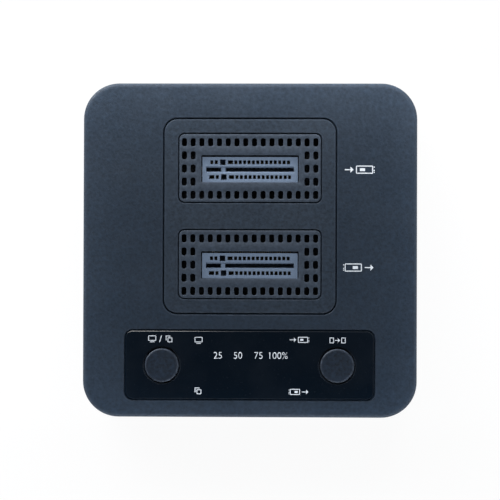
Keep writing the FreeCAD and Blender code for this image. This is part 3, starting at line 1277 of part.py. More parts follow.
def make_power_switch():
    """Slide switch: metal case, insulating plate behind, carriage with a thumb nub."""
    case = new_body("power_switch_case")
    inner_width = "(power_width - 2 * power_case_wall)"
    inner_height = "(power_height - 2 * power_case_wall)"
    outline = new_sketch(case, "power_case_outline", "XZ_Plane")
    rectangle(outline, "power_width", "power_height")
    pad(case, "power_case_block", outline, "power_length", downward=True)
    cavity = new_sketch(case, "power_cavity_outline", "XZ_Plane")
    rectangle(cavity, inner_width, inner_height)
    pocket(case, "power_cavity", cavity, "power_length - power_case_wall")
    slot = new_sketch(case, "power_slot_outline", "XZ_Plane")
    rectangle(slot, nub_slot, nub_slot_height)
    pocket(case, "power_slot", slot, "power_length")
    place(case, "power_x", power_back, power_axis)

    plate = new_body("power_switch_base")
    face = new_sketch(plate, "power_base_outline", "XZ_Plane")
    fit = "(2 * thread_clearance)"
    rectangle(face, f"{inner_width} - {fit}", f"{inner_height} - {fit}")
    pad(plate, "power_base_plate", face, "power_base_thickness", downward=True)
    place(plate, "power_x", power_back, power_axis)

    slider = new_body("power_switch_slider")
    back = "(power_base_thickness + slider_clearance)"
    front = "(power_length - power_case_wall - slider_clearance)"
    carriage = new_sketch(slider, "carriage_outline", "XZ_Plane", z=f"-{back}")
    rectangle(carriage, "slider_width", f"{inner_height} - 2 * slider_clearance")
    pad(slider, "carriage", carriage, f"{front} - {back}", downward=True)
    nub = new_sketch(slider, "nub_outline", "XZ_Plane", z=f"-{front}")
    rectangle(nub, "nub_width", "nub_height")
    nub_tip = "(power_length + power_wall_gap + side_wall - nub_inset)"
    pad(slider, "nub", nub, f"{nub_tip} - {front}", downward=True)
    place(slider, "power_x - power_travel / 2", power_back, power_axis)


# ---------------------------------------------------------------- build, check and write

make_top_shell()
make_bottom_cover()
make_feet()
make_screws(
    "case_screws", corner_post_x, corner_post_y, screw_seat,
    "case_screw_diameter", "case_screw_length", "case_screw_head", "case_screw_head_height",
)
make_bay_frame()
make_bays()
make_control_overlay()
make_overlay_adhesive()
for key in keys:
    make_button(key)
    make_key_switch(key)
make_light_baffle()
make_lights()
make_main_board()
make_screws(
    "board_screws", board_post_x, board_post_y, board_bottom,
    "board_screw_diameter", "board_screw_length", "board_screw_head", "board_screw_head_height",
)
make_parts_under_board()
make_usb_c()
make_dc_jack()
make_power_switch()

document.recompute()
for item in document.Objects:
    if "Invalid" in item.State or "Error" in item.State:
        raise RuntimeError(f"{item.Label} failed: {item.State}")
for part in parts:
    if part.Shape.isNull() or not part.Shape.isValid():
        raise RuntimeError(f"{part.Label} has no valid shape")

os.makedirs("parts", exist_ok=True)
for part in parts:
    part.Shape.exportStep(f"parts/{part.Label}.step")
    solids = part.Shape.Solids
    print(f"{part.Label}: {len(solids)} solid(s), {part.Shape.Volume:.1f} mm3")
print(f"{len(parts)} parts written")
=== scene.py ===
# A two-bay M.2 drive duplicator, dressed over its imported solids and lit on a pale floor.

import math

import bmesh
import bpy
from mathutils import Matrix, Vector


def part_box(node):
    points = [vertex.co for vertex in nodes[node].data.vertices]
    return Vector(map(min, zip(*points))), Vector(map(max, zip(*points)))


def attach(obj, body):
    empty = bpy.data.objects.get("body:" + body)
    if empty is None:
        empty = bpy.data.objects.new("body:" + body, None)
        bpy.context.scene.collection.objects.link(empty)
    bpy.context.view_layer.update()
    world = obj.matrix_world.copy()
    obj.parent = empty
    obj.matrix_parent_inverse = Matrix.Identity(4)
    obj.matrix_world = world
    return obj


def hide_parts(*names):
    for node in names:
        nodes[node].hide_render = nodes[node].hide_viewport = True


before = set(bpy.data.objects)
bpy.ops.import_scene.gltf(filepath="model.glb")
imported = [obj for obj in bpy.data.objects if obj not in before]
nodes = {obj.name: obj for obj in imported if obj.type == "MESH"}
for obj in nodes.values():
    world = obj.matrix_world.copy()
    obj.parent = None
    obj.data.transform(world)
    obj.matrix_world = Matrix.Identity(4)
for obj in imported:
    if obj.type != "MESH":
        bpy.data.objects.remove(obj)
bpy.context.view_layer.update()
mm = 0.001
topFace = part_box("top_shell")[1].z
print("frame:", len(nodes), "nodes, top face at", round(topFace / mm, 2), "mm")


# helpers for node trees

def fill(tree, node, inputs):
    for name, value in inputs.items():
        if isinstance(value, bpy.types.NodeSocket):
            tree.links.new(value, node.inputs[name])
        else:
            node.inputs[name].default_value = value


def put(tree, kind, inputs=None, **settings):
    node = tree.nodes.new(kind)
    for name, value in settings.items():
        setattr(node, name, value)
    fill(tree, node, inputs or {})
    return node


def calc(tree, operation, first, second=0.0):
    return put(tree, "ShaderNodeMath", {0: first, 1: second}, operation=operation).outputs[0]


def remap(tree, value, low, high, toLow=0.0, toHigh=1.0):
    inputs = {"Value": value, "From Min": low, "From Max": high, "To Min": toLow, "To Max": toHigh}
    return put(tree, "ShaderNodeMapRange", inputs).outputs["Result"]


# a value that goes from low to high as a mask goes from 0 to 1
def between(tree, mask, low, high):
    return remap(tree, mask, 0.0, 1.0, low, high)


def mixColours(tree, factor, first, second):
    inputs = {0: factor, 6: first, 7: second}
    return put(tree, "ShaderNodeMix", inputs, data_type="RGBA").outputs[2]


# a colour made lighter or darker by a value that changes over the surface
def shaded(tree, base, gain):
    inputs = {0: base, "Scale": gain}
    return put(tree, "ShaderNodeVectorMath", inputs, operation="SCALE").outputs["Vector"]


def noise(tree, vector, scale, detail, roughness):
    inputs = {"Vector": vector, "Scale": scale, "Detail": detail, "Roughness": roughness}
    return put(tree, "ShaderNodeTexNoise", inputs).outputs["Fac"]


def stretch(tree, vector, x=1.0, y=1.0):
    return put(tree, "ShaderNodeMapping", {"Vector": vector, "Scale": (x, y, 1.0)}).outputs[0]


# normal of a surface whose edges are rounded to a radius
def roundedNormal(tree, radius):
    return put(tree, "ShaderNodeBevel", {"Radius": radius}, samples=4).outputs[0]


def newTree(name, kind, inputs, outputs):
    tree = bpy.data.node_groups.new(name, kind)
    for way, sockets in (("INPUT", inputs), ("OUTPUT", outputs)):
        for label, socketKind in sockets.items():
            tree.interface.new_socket(label, in_out=way, socket_type=socketKind)
    return tree, tree.nodes.new("NodeGroupInput").outputs, tree.nodes.new("NodeGroupOutput")


def useGroup(tree, group, inputs):
    node = put(tree, "ShaderNodeGroup", node_tree=group)
    fill(tree, node, inputs)
    return node.outputs


# sRGB levels from 0 to 255 as a linear colour
def paint(red, green, blue):
    levels = [level / 255 for level in (red, green, blue)]
    return (*[v / 12.92 if v < 0.04045 else ((v + 0.055) / 1.055) ** 2.4 for v in levels], 1.0)


# effects that several materials share, each with the values that are the same in all of them

number, vector, colour = "NodeSocketFloat", "NodeSocketVector", "NodeSocketColor"

grainEffect = {"cellScale": 0.5, "pitSpan": (0.3, 0.7)}


# the fine sparked texture that a mould leaves on plastic
def makeMouldGrain(look):
    tree, given, result = newTree(
        "mouldGrain", "ShaderNodeTree",
        {"Vector": vector, "Grain Size": number, "Cell Share": number},
        {"Height": number, "Pits": number})
    frequency = calc(tree, "DIVIDE", 1.0, given["Grain Size"])
    fine = noise(tree, given["Vector"], frequency, detail=2.0, roughness=0.6)
    slower = calc(tree, "MULTIPLY", frequency, look["cellScale"])
    inputs = {"Vector": given["Vector"], "Scale": slower}
    cells = put(tree, "ShaderNodeTexVoronoi", inputs, feature="SMOOTH_F1").outputs["Distance"]
    blend = {0: given["Cell Share"], 2: fine, 3: cells}
    height = put(tree, "ShaderNodeMix", blend, data_type="FLOAT").outputs[0]
    fill(tree, result, {"Height": height, "Pits": remap(tree, height, *look["pitSpan"])})
    return tree


driftEffect = {"smallScale": 9.0}


# slow drift of a colour across a moulding, in broad patches and small ones
def makeShadeDrift(look):
    tree, given, result = newTree(
        "shadeDrift", "ShaderNodeTree",
        {"Vector": vector, "Color": colour, "Patch Size": number, "Amount": number},
        {"Color": colour})
    frequency = calc(tree, "DIVIDE", 1.0, given["Patch Size"])
    broad = noise(tree, given["Vector"], frequency, detail=3.0, roughness=0.55)
    faster = calc(tree, "MULTIPLY", frequency, look["smallScale"])
    small = noise(tree, given["Vector"], faster, detail=2.0, roughness=0.5)
    wave = calc(tree, "SUBTRACT", calc(tree, "ADD", broad, small), 1.0)
    gain = calc(tree, "ADD", calc(tree, "MULTIPLY", wave, given["Amount"]), 1.0)
    fill(tree, result, {"Color": shaded(tree, given["Color"], gain)})
    return tree


rubAndHighlightEffect = {"patchScale": 700.0, "patchSpan": (0.35, 0.65), "least": 0.3}


# where handling has worn and lightened an edge, with a painted highlight along the edges that would
# catch the light
def makeEdgeRubAndHighlight(look):
    tree, given, result = newTree(
        "edgeRubAndHighlight", "ShaderNodeTree",
        {"Vector": vector, "Radius": number, "Gain": number}, {"Mask": number})
    rounded = roundedNormal(tree, given["Radius"])
    flat = put(tree, "ShaderNodeNewGeometry").outputs["Normal"]
    lean = put(tree, "ShaderNodeVectorMath", {0: rounded, 1: flat}, operation="DOT_PRODUCT")
    edge = calc(tree, "SUBTRACT", 1.0, lean.outputs["Value"])
    patches = noise(tree, given["Vector"], look["patchScale"], detail=3.0, roughness=0.6)
    patchy = remap(tree, patches, *look["patchSpan"], toLow=look["least"])
    mask = calc(tree, "MULTIPLY", calc(tree, "MULTIPLY", edge, given["Gain"]), patchy)
    fill(tree, result, {"Mask": calc(tree, "MINIMUM", mask, 1.0)})
    return tree


dustEffect = {
    "speckSpan": (0.68, 0.78), "filmScale": 90.0, "filmSpan": (0.4, 0.75), "film": 0.5,
    "upwardSpan": (0.6, 0.95),
}


# specks and a thin film that settle on what faces up
def makeSettledDust(look):
    tree, given, result = newTree(
        "settledDust", "ShaderNodeTree",
        {"Vector": vector, "Speck Size": number, "Amount": number}, {"Mask": number})
    frequency = calc(tree, "DIVIDE", 1.0, given["Speck Size"])
    specks = noise(tree, given["Vector"], frequency, detail=1.0, roughness=0.5)
    specks = remap(tree, specks, *look["speckSpan"])
    film = noise(tree, given["Vector"], look["filmScale"], detail=3.0, roughness=0.6)
    film = remap(tree, film, *look["filmSpan"], toHigh=look["film"])
    normal = put(tree, "ShaderNodeNewGeometry").outputs["Normal"]
    upward = put(tree, "ShaderNodeSeparateXYZ", {0: normal}).outputs["Z"]
    facing = remap(tree, upward, *look["upwardSpan"])
    mask = calc(tree, "MULTIPLY", calc(tree, "MAXIMUM", specks, film), facing)
    fill(tree, result, {"Mask": calc(tree, "MULTIPLY", mask, given["Amount"])})
    return tree


marksEffect = {"along": 0.06, "stainScale": 0.12}


# fine parallel scratches of rolled, turned or brushed metal
def makeToolMarks(look):
    tree, given, result = newTree(
        "toolMarks", "ShaderNodeTree",
        {"Vector": vector, "Mark Size": number}, {"Height": number, "Shade": number})
    frequency = calc(tree, "DIVIDE", 1.0, given["Mark Size"])
    drawn = stretch(tree, given["Vector"], x=look["along"])
    lines = noise(tree, drawn, frequency, detail=2.0, roughness=0.6)
    slower = calc(tree, "MULTIPLY", frequency, look["stainScale"])
    stains = noise(tree, given["Vector"], slower, detail=3.0, roughness=0.6)
    fill(tree, result, {"Height": lines, "Shade": calc(tree, "MULTIPLY", lines, stains)})
    return tree


mouldGrain = makeMouldGrain(grainEffect)
shadeDrift = makeShadeDrift(driftEffect)
edgeRubAndHighlight = makeEdgeRubAndHighlight(rubAndHighlightEffect)
settledDust = makeSettledDust(dustEffect)
toolMarks = makeToolMarks(marksEffect)


def newMaterial(name, roughness, metallic=0.0, specular=0.5):
    material = bpy.data.materials.new(name)
    material.use_nodes = True
    tree = material.node_tree
    tree.nodes.clear()
    shader = put(tree, "ShaderNodeBsdfPrincipled", {
        "Roughness": roughness, "Metallic": metallic, "Specular IOR Level": specular})
    put(tree, "ShaderNodeOutputMaterial", {"Surface": shader.outputs[0]})
    place = put(tree, "ShaderNodeTexCoord").outputs["Object"]
    return material, tree, shader, place


def bump(tree, height, depth, normal=None):
    inputs = {"Height": height, "Distance": depth}
    if normal:
        inputs["Normal"] = normal
    return put(tree, "ShaderNodeBump", inputs).outputs[0]


def drifted(tree, place, base, look):
    inputs = {"Vector": place, "Color": base, "Patch Size": look["patchSize"],
              "Amount": look["drift"]}
    return useGroup(tree, shadeDrift, inputs)["Color"]


# lightened edges: partly handling wear, partly a painted highlight
def edgeRubAndHighlightMask(tree, place, look):
    inputs = {"Vector": place, "Radius": look["rubAndHighlightWidth"], "Gain": look["rubAndHighlightGain"]}
    mask = useGroup(tree, edgeRubAndHighlight, inputs)["Mask"]
    return calc(tree, "MULTIPLY", mask, look["rubAndHighlight"])


def dustMask(tree, place, look):
    inputs = {"Vector": place, "Speck Size": look["dustSize"], "Amount": look["dust"]}
    return useGroup(tree, settledDust, inputs)["Mask"]


# plastics: one recipe, with the look of each moulding in its own dictionary
def makePlastic(name, look):
    material, tree, shader, place = newMaterial(
        name, look["roughness"], specular=look["specular"])
    grain = useGroup(tree, mouldGrain, {
        "Vector": place, "Grain Size": look["grainSize"], "Cell Share": look["cellShare"]})
    base = drifted(tree, place, look["colour"], look)
    speckle = between(tree, grain["Pits"], 1.0 - look["speckle"], 1.0 + look["speckle"])
    base = shaded(tree, base, speckle)
    # edges lightened by wear and by a painted highlight
    base = mixColours(tree, edgeRubAndHighlightMask(tree, place, look), base, look["rubAndHighlightColour"])
    dust = dustMask(tree, place, look)
    base = mixColours(tree, dust, base, look["dustColour"])
    dull, shiny = look["roughness"] + look["roughSpread"], look["roughness"] - look["roughSpread"]
    spread = between(tree, grain["Pits"], dull, shiny)
    spread = calc(tree, "ADD", spread, calc(tree, "MULTIPLY", dust, look["dustRoughness"]))
    rounded = roundedNormal(tree, look["edgeRound"])
    fill(tree, shader, {
        "Base Color": base, "Roughness": spread,
        "Normal": bump(tree, grain["Height"], look["grainDepth"], rounded)})
    return material


# the lightened edges of this look and of the looks built on it are partly wear and partly a painted
# highlight
housingLook = {
    "colour": paint(34, 45, 58), "roughness": 0.46, "roughSpread": 0.08, "specular": 0.2,
    "grainSize": 0.38 * mm, "grainDepth": 0.05 * mm, "cellShare": 0.4, "speckle": 0.27,
    "patchSize": 16 * mm, "drift": 0.16, "edgeRound": 0.14 * mm,
    "rubAndHighlight": 0.3, "rubAndHighlightWidth": 0.5 * mm, "rubAndHighlightGain": 3.0, "rubAndHighlightColour": paint(112, 124, 144),
    "dust": 0.02, "dustSize": 0.5 * mm, "dustRoughness": 0.3, "dustColour": paint(168, 172, 178),
}
insertLook = dict(housingLook, colour=paint(39, 49, 61), drift=0.14, speckle=0.34)
grilleLook = dict(housingLook, colour=paint(54, 63, 75), dust=0.01)
# the keys' pale rims are a painted highlight, standing in for the light their rounded edges catch
buttonLook = dict(
    housingLook, colour=paint(28, 37, 49), roughness=0.42, drift=0.10, speckle=0.5,
    rubAndHighlight=0.95, rubAndHighlightColour=paint(158, 170, 190))
socketLook = dict(
    housingLook, colour=paint(115, 131, 153), roughness=0.42, grainSize=0.12 * mm,
    grainDepth=0.006 * mm, patchSize=4 * mm, drift=0.10, speckle=0.05, edgeRound=0.06 * mm,
    rubAndHighlight=0.4, rubAndHighlightWidth=0.15 * mm, rubAndHighlightColour=paint(175, 185, 205), dust=0.05)
connectorLook = dict(
    housingLook, colour=paint(24, 25, 28), roughness=0.5, grainSize=0.15 * mm,
    grainDepth=0.01 * mm, patchSize=3 * mm, drift=0.12, speckle=0.12, edgeRound=0.05 * mm, dust=0.0)
plungerLook = dict(
    socketLook, colour=paint(196, 190, 178), rubAndHighlightColour=paint(225, 220, 210), roughness=0.4)


# rubber feet: matt, slightly bloomed, with fluff on the sole
def makeRubber(name, look):
    material, tree, shader, place = newMaterial(
        name, look["roughness"], specular=look["specular"])
    grain = useGroup(tree, mouldGrain, {
        "Vector": place, "Grain Size": look["grainSize"], "Cell Share": look["cellShare"]})
    cloud = noise(tree, place, look["bloomScale"], detail=4.0, roughness=0.6)
    bloom = remap(tree, cloud, *look["bloomSpan"], toHigh=look["bloom"])
    base = mixColours(tree, bloom, look["colour"], look["bloomColour"])
    worn = look["roughness"] - look["polish"]
    fill(tree, shader, {
        "Base Color": drifted(tree, place, base, look),
        "Roughness": between(tree, grain["Pits"], look["roughness"], worn),
        "Normal": bump(tree, grain["Height"], look["grainDepth"])})
    return material


footLook = {
    "colour": paint(26, 27, 29), "roughness": 0.9, "polish": 0.15, "specular": 0.35,
    "grainSize": 0.4 * mm, "grainDepth": 0.06 * mm, "cellShare": 0.7,
    "bloom": 0.45, "bloomScale": 420.0, "bloomSpan": (0.4, 0.7), "bloomColour": paint(74, 76, 80),
    "patchSize": 3 * mm, "drift": 0.2,
}


# metals: tool marks in the height and the roughness, dulled patches in the colour
def makeMetal(name, look):
    material, tree, shader, place = newMaterial(name, look["roughness"], metallic=1.0)
    marks = useGroup(tree, toolMarks, {"Vector": place, "Mark Size": look["markSize"]})
    bright = remap(tree, marks["Shade"], *look["stainSpan"])
    base = mixColours(tree, bright, look["dullColour"], look["colour"])
    # edges lightened by wear and by a painted highlight
    base = mixColours(tree, edgeRubAndHighlightMask(tree, place, look), base, look["rubAndHighlightColour"])
    dull, shiny = look["roughness"] + look["dulled"], look["roughness"] - look["polish"]
    fill(tree, shader, {
        "Base Color": base,
        "Roughness": remap(tree, marks["Height"], *look["markSpan"], dull, shiny),
        "Normal": bump(tree, marks["Height"], look["markDepth"])})
    return material


screwLook = {
    "colour": paint(176, 177, 180), "dullColour": paint(120, 121, 126),
    "roughness": 0.34, "dulled": 0.1, "polish": 0.08,
    "rubAndHighlight": 0.5, "rubAndHighlightWidth": 0.1 * mm, "rubAndHighlightGain": 2.0, "rubAndHighlightColour": paint(220, 220, 222),
    "markSize": 0.2 * mm, "markDepth": 0.006 * mm, "markSpan": (0.3, 0.7), "stainSpan": (0.12, 0.4),
}
# plated gold darkened below its own colour as painted shade, for contacts that sit deep in the
# socket's windows
shadedGoldLook = dict(
    screwLook, colour=paint(146, 126, 88), dullColour=paint(86, 74, 52),
    rubAndHighlightColour=paint(214, 194, 150), markSize=0.08 * mm, markDepth=0.002 * mm)
tinLook = dict(
    screwLook, colour=paint(206, 207, 208), dullColour=paint(160, 161, 163), roughness=0.3)
steelLook = dict(
    screwLook, colour=paint(198, 200, 203), dullColour=paint(158, 160, 164), roughness=0.24,
    markSize=0.12 * mm, markDepth=0.003 * mm)
canLook = dict(steelLook, colour=paint(212, 213, 214), roughness=0.32)


# smoked gloss of the control panel: slight waviness, wiped smears and fine dust
def makePanelGloss(name, look):
    material, tree, shader, place = newMaterial(
        name, look["roughness"], specular=look["specular"])
    wiped = stretch(tree, place, x=look["smearAlong"])
    smear = noise(tree, wiped, look["smearScale"], detail=4.0, roughness=0.65)
    dull = look["roughness"] + look["smear"]
    rough = remap(tree, smear, *look["smearSpan"], look["roughness"], dull)
    base = drifted(tree, place, look["colour"], look)
    dust = dustMask(tree, place, look)
    base = mixColours(tree, dust, base, look["dustColour"])
    # edges lightened a little: a painted highlight, with some wear
    base = mixColours(tree, edgeRubAndHighlightMask(tree, place, look), base, look["rubAndHighlightColour"])
    wave = noise(tree, place, look["waveScale"], detail=1.0, roughness=0.4)
    rough = calc(tree, "ADD", rough, calc(tree, "MULTIPLY", dust, look["dustRoughness"]))
    fill(tree, shader, {
        "Base Color": base, "Roughness": rough, "Normal": bump(tree, wave, look["waveDepth"])})
    return material


panelLook = {
    "colour": paint(3, 12, 22), "roughness": 0.1, "specular": 0.25,
    "patchSize": 20 * mm, "drift": 0.15, "waveScale": 160.0, "waveDepth": 0.006 * mm,
    "smear": 0.08, "smearScale": 110.0, "smearAlong": 0.5, "smearSpan": (0.35, 0.75),
    "rubAndHighlight": 0.06, "rubAndHighlightWidth": 0.2 * mm, "rubAndHighlightGain": 2.0, "rubAndHighlightColour": paint(60, 70, 84),
    "dust": 0.02, "dustSize": 0.4 * mm, "dustRoughness": 0.5, "dustColour": paint(150, 156, 166),
}


# clear adhesive film: milky, with small trapped bubbles
def makeFilm(name, look):
    material, tree, shader, place = newMaterial(name, look["roughness"])
    bubbles = put(tree, "ShaderNodeTexVoronoi", {"Vector": place, "Scale": look["bubbleScale"]})
    ring = remap(tree, bubbles.outputs["Distance"], *look["bubbleSpan"])
    base = mixColours(tree, ring, look["bubbleColour"], look["colour"])
    fill(tree, shader, {"Base Color": base, "Normal": bump(tree, ring, look["bubbleDepth"])})
    return material


filmLook = {
    "colour": paint(150, 152, 156), "bubbleColour": paint(196, 198, 202), "roughness": 0.3,
    "bubbleScale": 900.0, "bubbleSpan": (0.12, 0.2), "bubbleDepth": 0.01 * mm,
}


# small lamp: a pale moulded package round a yellow phosphor window
def makeLens(name, look):
    material, tree, shader, place = newMaterial(name, look["roughness"])
    cloud = noise(tree, place, look["cloudScale"], detail=3.0, roughness=0.6)
    yellow = remap(tree, cloud, *look["cloudSpan"])
    base = mixColours(tree, yellow, look["colour"], look["phosphor"])
    fill(tree, shader, {"Base Color": base, "Normal": bump(tree, cloud, look["cloudDepth"])})
    return material


lensLook = {
    "colour": paint(226, 224, 214), "phosphor": paint(224, 208, 128), "roughness": 0.25,
    "cloudScale": 2600.0, "cloudSpan": (0.35, 0.65), "cloudDepth": 0.01 * mm,
}


# circuit board: woven laminate under solder mask, with copper tracks standing a little proud
def makeLaminate(name, look):
    material, tree, shader, place = newMaterial(name, look["roughness"])
    weave = stretch(tree, place, x=look["weaveScale"], y=look["weaveScale"])
    across = put(tree, "ShaderNodeTexWave", {"Vector": weave, "Scale": 1.0}, bands_direction="X")
    along = put(tree, "ShaderNodeTexWave", {"Vector": weave, "Scale": 1.0}, bands_direction="Y")
    cloth = calc(tree, "MULTIPLY", across.outputs["Fac"], along.outputs["Fac"])
    inputs = {"Vector": place, "Scale": look["trackScale"]}
    cells = put(tree, "ShaderNodeTexVoronoi", inputs, feature="F1", distance="CHEBYCHEV")
    rings = calc(tree, "PINGPONG", cells.outputs["Distance"], look["trackPitch"])
    track = remap(tree, rings, *look["trackSpan"])
    base = mixColours(tree, cloth, look["colour"], look["weaveColour"])
    showing = calc(tree, "MULTIPLY", track, look["trackShare"])
    base = mixColours(tree, showing, base, look["trackColour"])
    height = calc(tree, "ADD", calc(tree, "MULTIPLY", cloth, look["weaveHeight"]), track)
    fill(tree, shader, {"Base Color": base, "Normal": bump(tree, height, look["trackDepth"])})
    return material


laminateLook = {
    "colour": paint(11, 15, 22), "roughness": 0.3,
    "weaveColour": paint(17, 22, 31), "weaveScale": 9000.0, "weaveHeight": 0.2,
    "trackColour": paint(27, 34, 46), "trackScale": 220.0, "trackPitch": 0.12,
    "trackSpan": (0.05, 0.06), "trackShare": 0.6, "trackDepth": 0.03 * mm,
}


# moulded chip epoxy and pressed ferrite: matt with glints of filler
def makeFilled(name, look):
    material, tree, shader, place = newMaterial(name, look["roughness"])
    flakes = put(tree, "ShaderNodeTexVoronoi", {"Vector": place, "Scale": look["flakeScale"]})
    glint = remap(tree, flakes.outputs["Distance"], 0.0, look["flakeReach"], 1.0, 0.0)
    share = calc(tree, "MULTIPLY", glint, look["glint"])
    base = mixColours(tree, share, look["colour"], look["flakeColour"])
    shiny = look["roughness"] - look["polish"]
    fill(tree, shader, {
        "Base Color": drifted(tree, place, base, look),
        "Roughness": between(tree, glint, look["roughness"], shiny),
        "Normal": bump(tree, flakes.outputs["Distance"], look["flakeDepth"])})
    return material


chipLook = {
    "colour": paint(28, 29, 31), "roughness": 0.65, "polish": 0.25,
    "flakeColour": paint(78, 80, 84), "flakeScale": 7000.0, "flakeDepth": 0.008 * mm,
    "flakeReach": 0.25, "glint": 0.5, "patchSize": 3 * mm, "drift": 0.15,
}
ferriteLook = dict(
    chipLook, colour=paint(58, 57, 58), flakeColour=paint(128, 126, 124), flakeScale=4200.0,
    flakeDepth=0.02 * mm)

finishes = {
    "housing_plastic": makePlastic("housingPlastic", housingLook),
    "insert_plastic": makePlastic("insertPlastic", insertLook),
    "grille_plastic": makePlastic("grillePlastic", grilleLook),
    "button_plastic": makePlastic("buttonPlastic", buttonLook),
    "socket_plastic": makePlastic("socketPlastic", socketLook),
    "connector_plastic": makePlastic("connectorNylon", connectorLook),
    "plunger_plastic": makePlastic("plungerPlastic", plungerLook),
    "foot_rubber": makeRubber("footRubber", footLook),
    "screw_steel": makeMetal("platedScrewSteel", screwLook),
    "contact_gold": makeMetal("contactGoldPaintedShade", shadedGoldLook),
    "tinned_metal": makeMetal("tinnedMetal", tinLook),
    "connector_steel": makeMetal("connectorSteel", steelLook),
    "capacitor_can": makeMetal("capacitorAluminium", canLook),
    "panel_gloss": makePanelGloss("smokedPanelGloss", panelLook),
    "adhesive_film": makeFilm("adhesiveFilm", filmLook),
    "light_lens": makeLens("lampPackage", lensLook),
    "board_laminate": makeLaminate("boardLaminate", laminateLook),
    "chip_epoxy": makeFilled("chipEpoxy", chipLook),
    "choke_ferrite": makeFilled("chokeFerrite", ferriteLook),
}
for part in nodes.values():
    for materialSlot in part.material_slots:
        materialSlot.material = finishes[materialSlot.material.name.split(".")[0]]
print("finishes:", len(finishes), "materials on", len(nodes), "nodes")


# a new piece from a mesh: named, dressed, riding on its body
def addPiece(name, mesh, body, material):
    piece = bpy.data.objects.new(name, mesh)
    bpy.context.scene.collection.objects.link(piece)
    mesh.materials.clear()
    mesh.materials.append(material)
    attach(piece, body)
    return piece


# vent plates: rows of rounded holes round the socket's window, every rim softly rounded

ventPlate = {
    "Hole Width": 1.18 * mm, "Hole Length": 1.88 * mm, "Hole Corner": 0.45 * mm,
    "Hole Shift": -0.12 * mm, "Inset": 0.04 * mm,
    "Pitch X": 2.0 * mm, "Pitch Y": 3.0 * mm, "Columns": 16, "Rows": 5, "End Columns": 2,
    "Window Width": 22.28 * mm, "Window Length": 6.24 * mm, "Window Corner": 0.3 * mm,
    "Window Shift": -0.16 * mm,
    "Plate Corner": 1.2 * mm, "Rim": 0.05 * mm, "Outer Rim": 0.08 * mm,
    "Seam": 0.015 * mm,
}


def roundedOutline(tree, width, length, corner, steps):
    size = {"Width": width, "Height": length}
    box = put(tree, "GeometryNodeCurvePrimitiveQuadrilateral", size).outputs["Curve"]
    inputs = {"Curve": box, "Count": steps, "Radius": corner}
    return put(tree, "GeometryNodeFilletCurve", inputs, mode="POLY").outputs["Curve"]


# profile of an edge: a quarter round off the flat face, then straight down the wall
def edgeProfile(tree, rim, depth, steps):
    line = put(tree, "GeometryNodeCurvePrimitiveLine").outputs["Curve"]
    inputs = {"Curve": line, "Count": steps + 2}
    line = put(tree, "GeometryNodeResampleCurve", inputs).outputs["Curve"]
    index = put(tree, "GeometryNodeInputIndex").outputs[0]
    share = calc(tree, "MINIMUM", calc(tree, "DIVIDE", index, float(steps)), 1.0)
    turn = calc(tree, "MULTIPLY", share, math.pi / 2)
    out = calc(tree, "MULTIPLY", rim, calc(tree, "SUBTRACT", 1.0, calc(tree, "SINE", turn)))
    size = calc(tree, "ABSOLUTE", rim)
    drop = calc(tree, "MULTIPLY", size, calc(tree, "SUBTRACT", 1.0, calc(tree, "COSINE", turn)))
    last = calc(tree, "GREATER_THAN", index, steps + 0.5)
    rest = calc(tree, "MULTIPLY", last, calc(tree, "SUBTRACT", depth, size))
    point = put(tree, "ShaderNodeCombineXYZ", {"X": out, "Y": calc(tree, "ADD", drop, rest)})
    inputs = {"Geometry": line, "Position": point.outputs[0]}
    return put(tree, "GeometryNodeSetPosition", inputs).outputs["Geometry"]


def sweptEdge(tree, outline, profile):
    inputs = {"Curve": outline}
    level = put(tree, "GeometryNodeSetCurveNormal", inputs, mode="Z_UP").outputs["Curve"]
    inputs = {"Curve": level, "Profile Curve": profile}
    return put(tree, "GeometryNodeCurveToMesh", inputs).outputs["Mesh"]


def joined(tree, pieces):
    node = put(tree, "GeometryNodeJoinGeometry")
    for piece in reversed(pieces):
        tree.links.new(piece, node.inputs["Geometry"])
    return node.outputs["Geometry"]


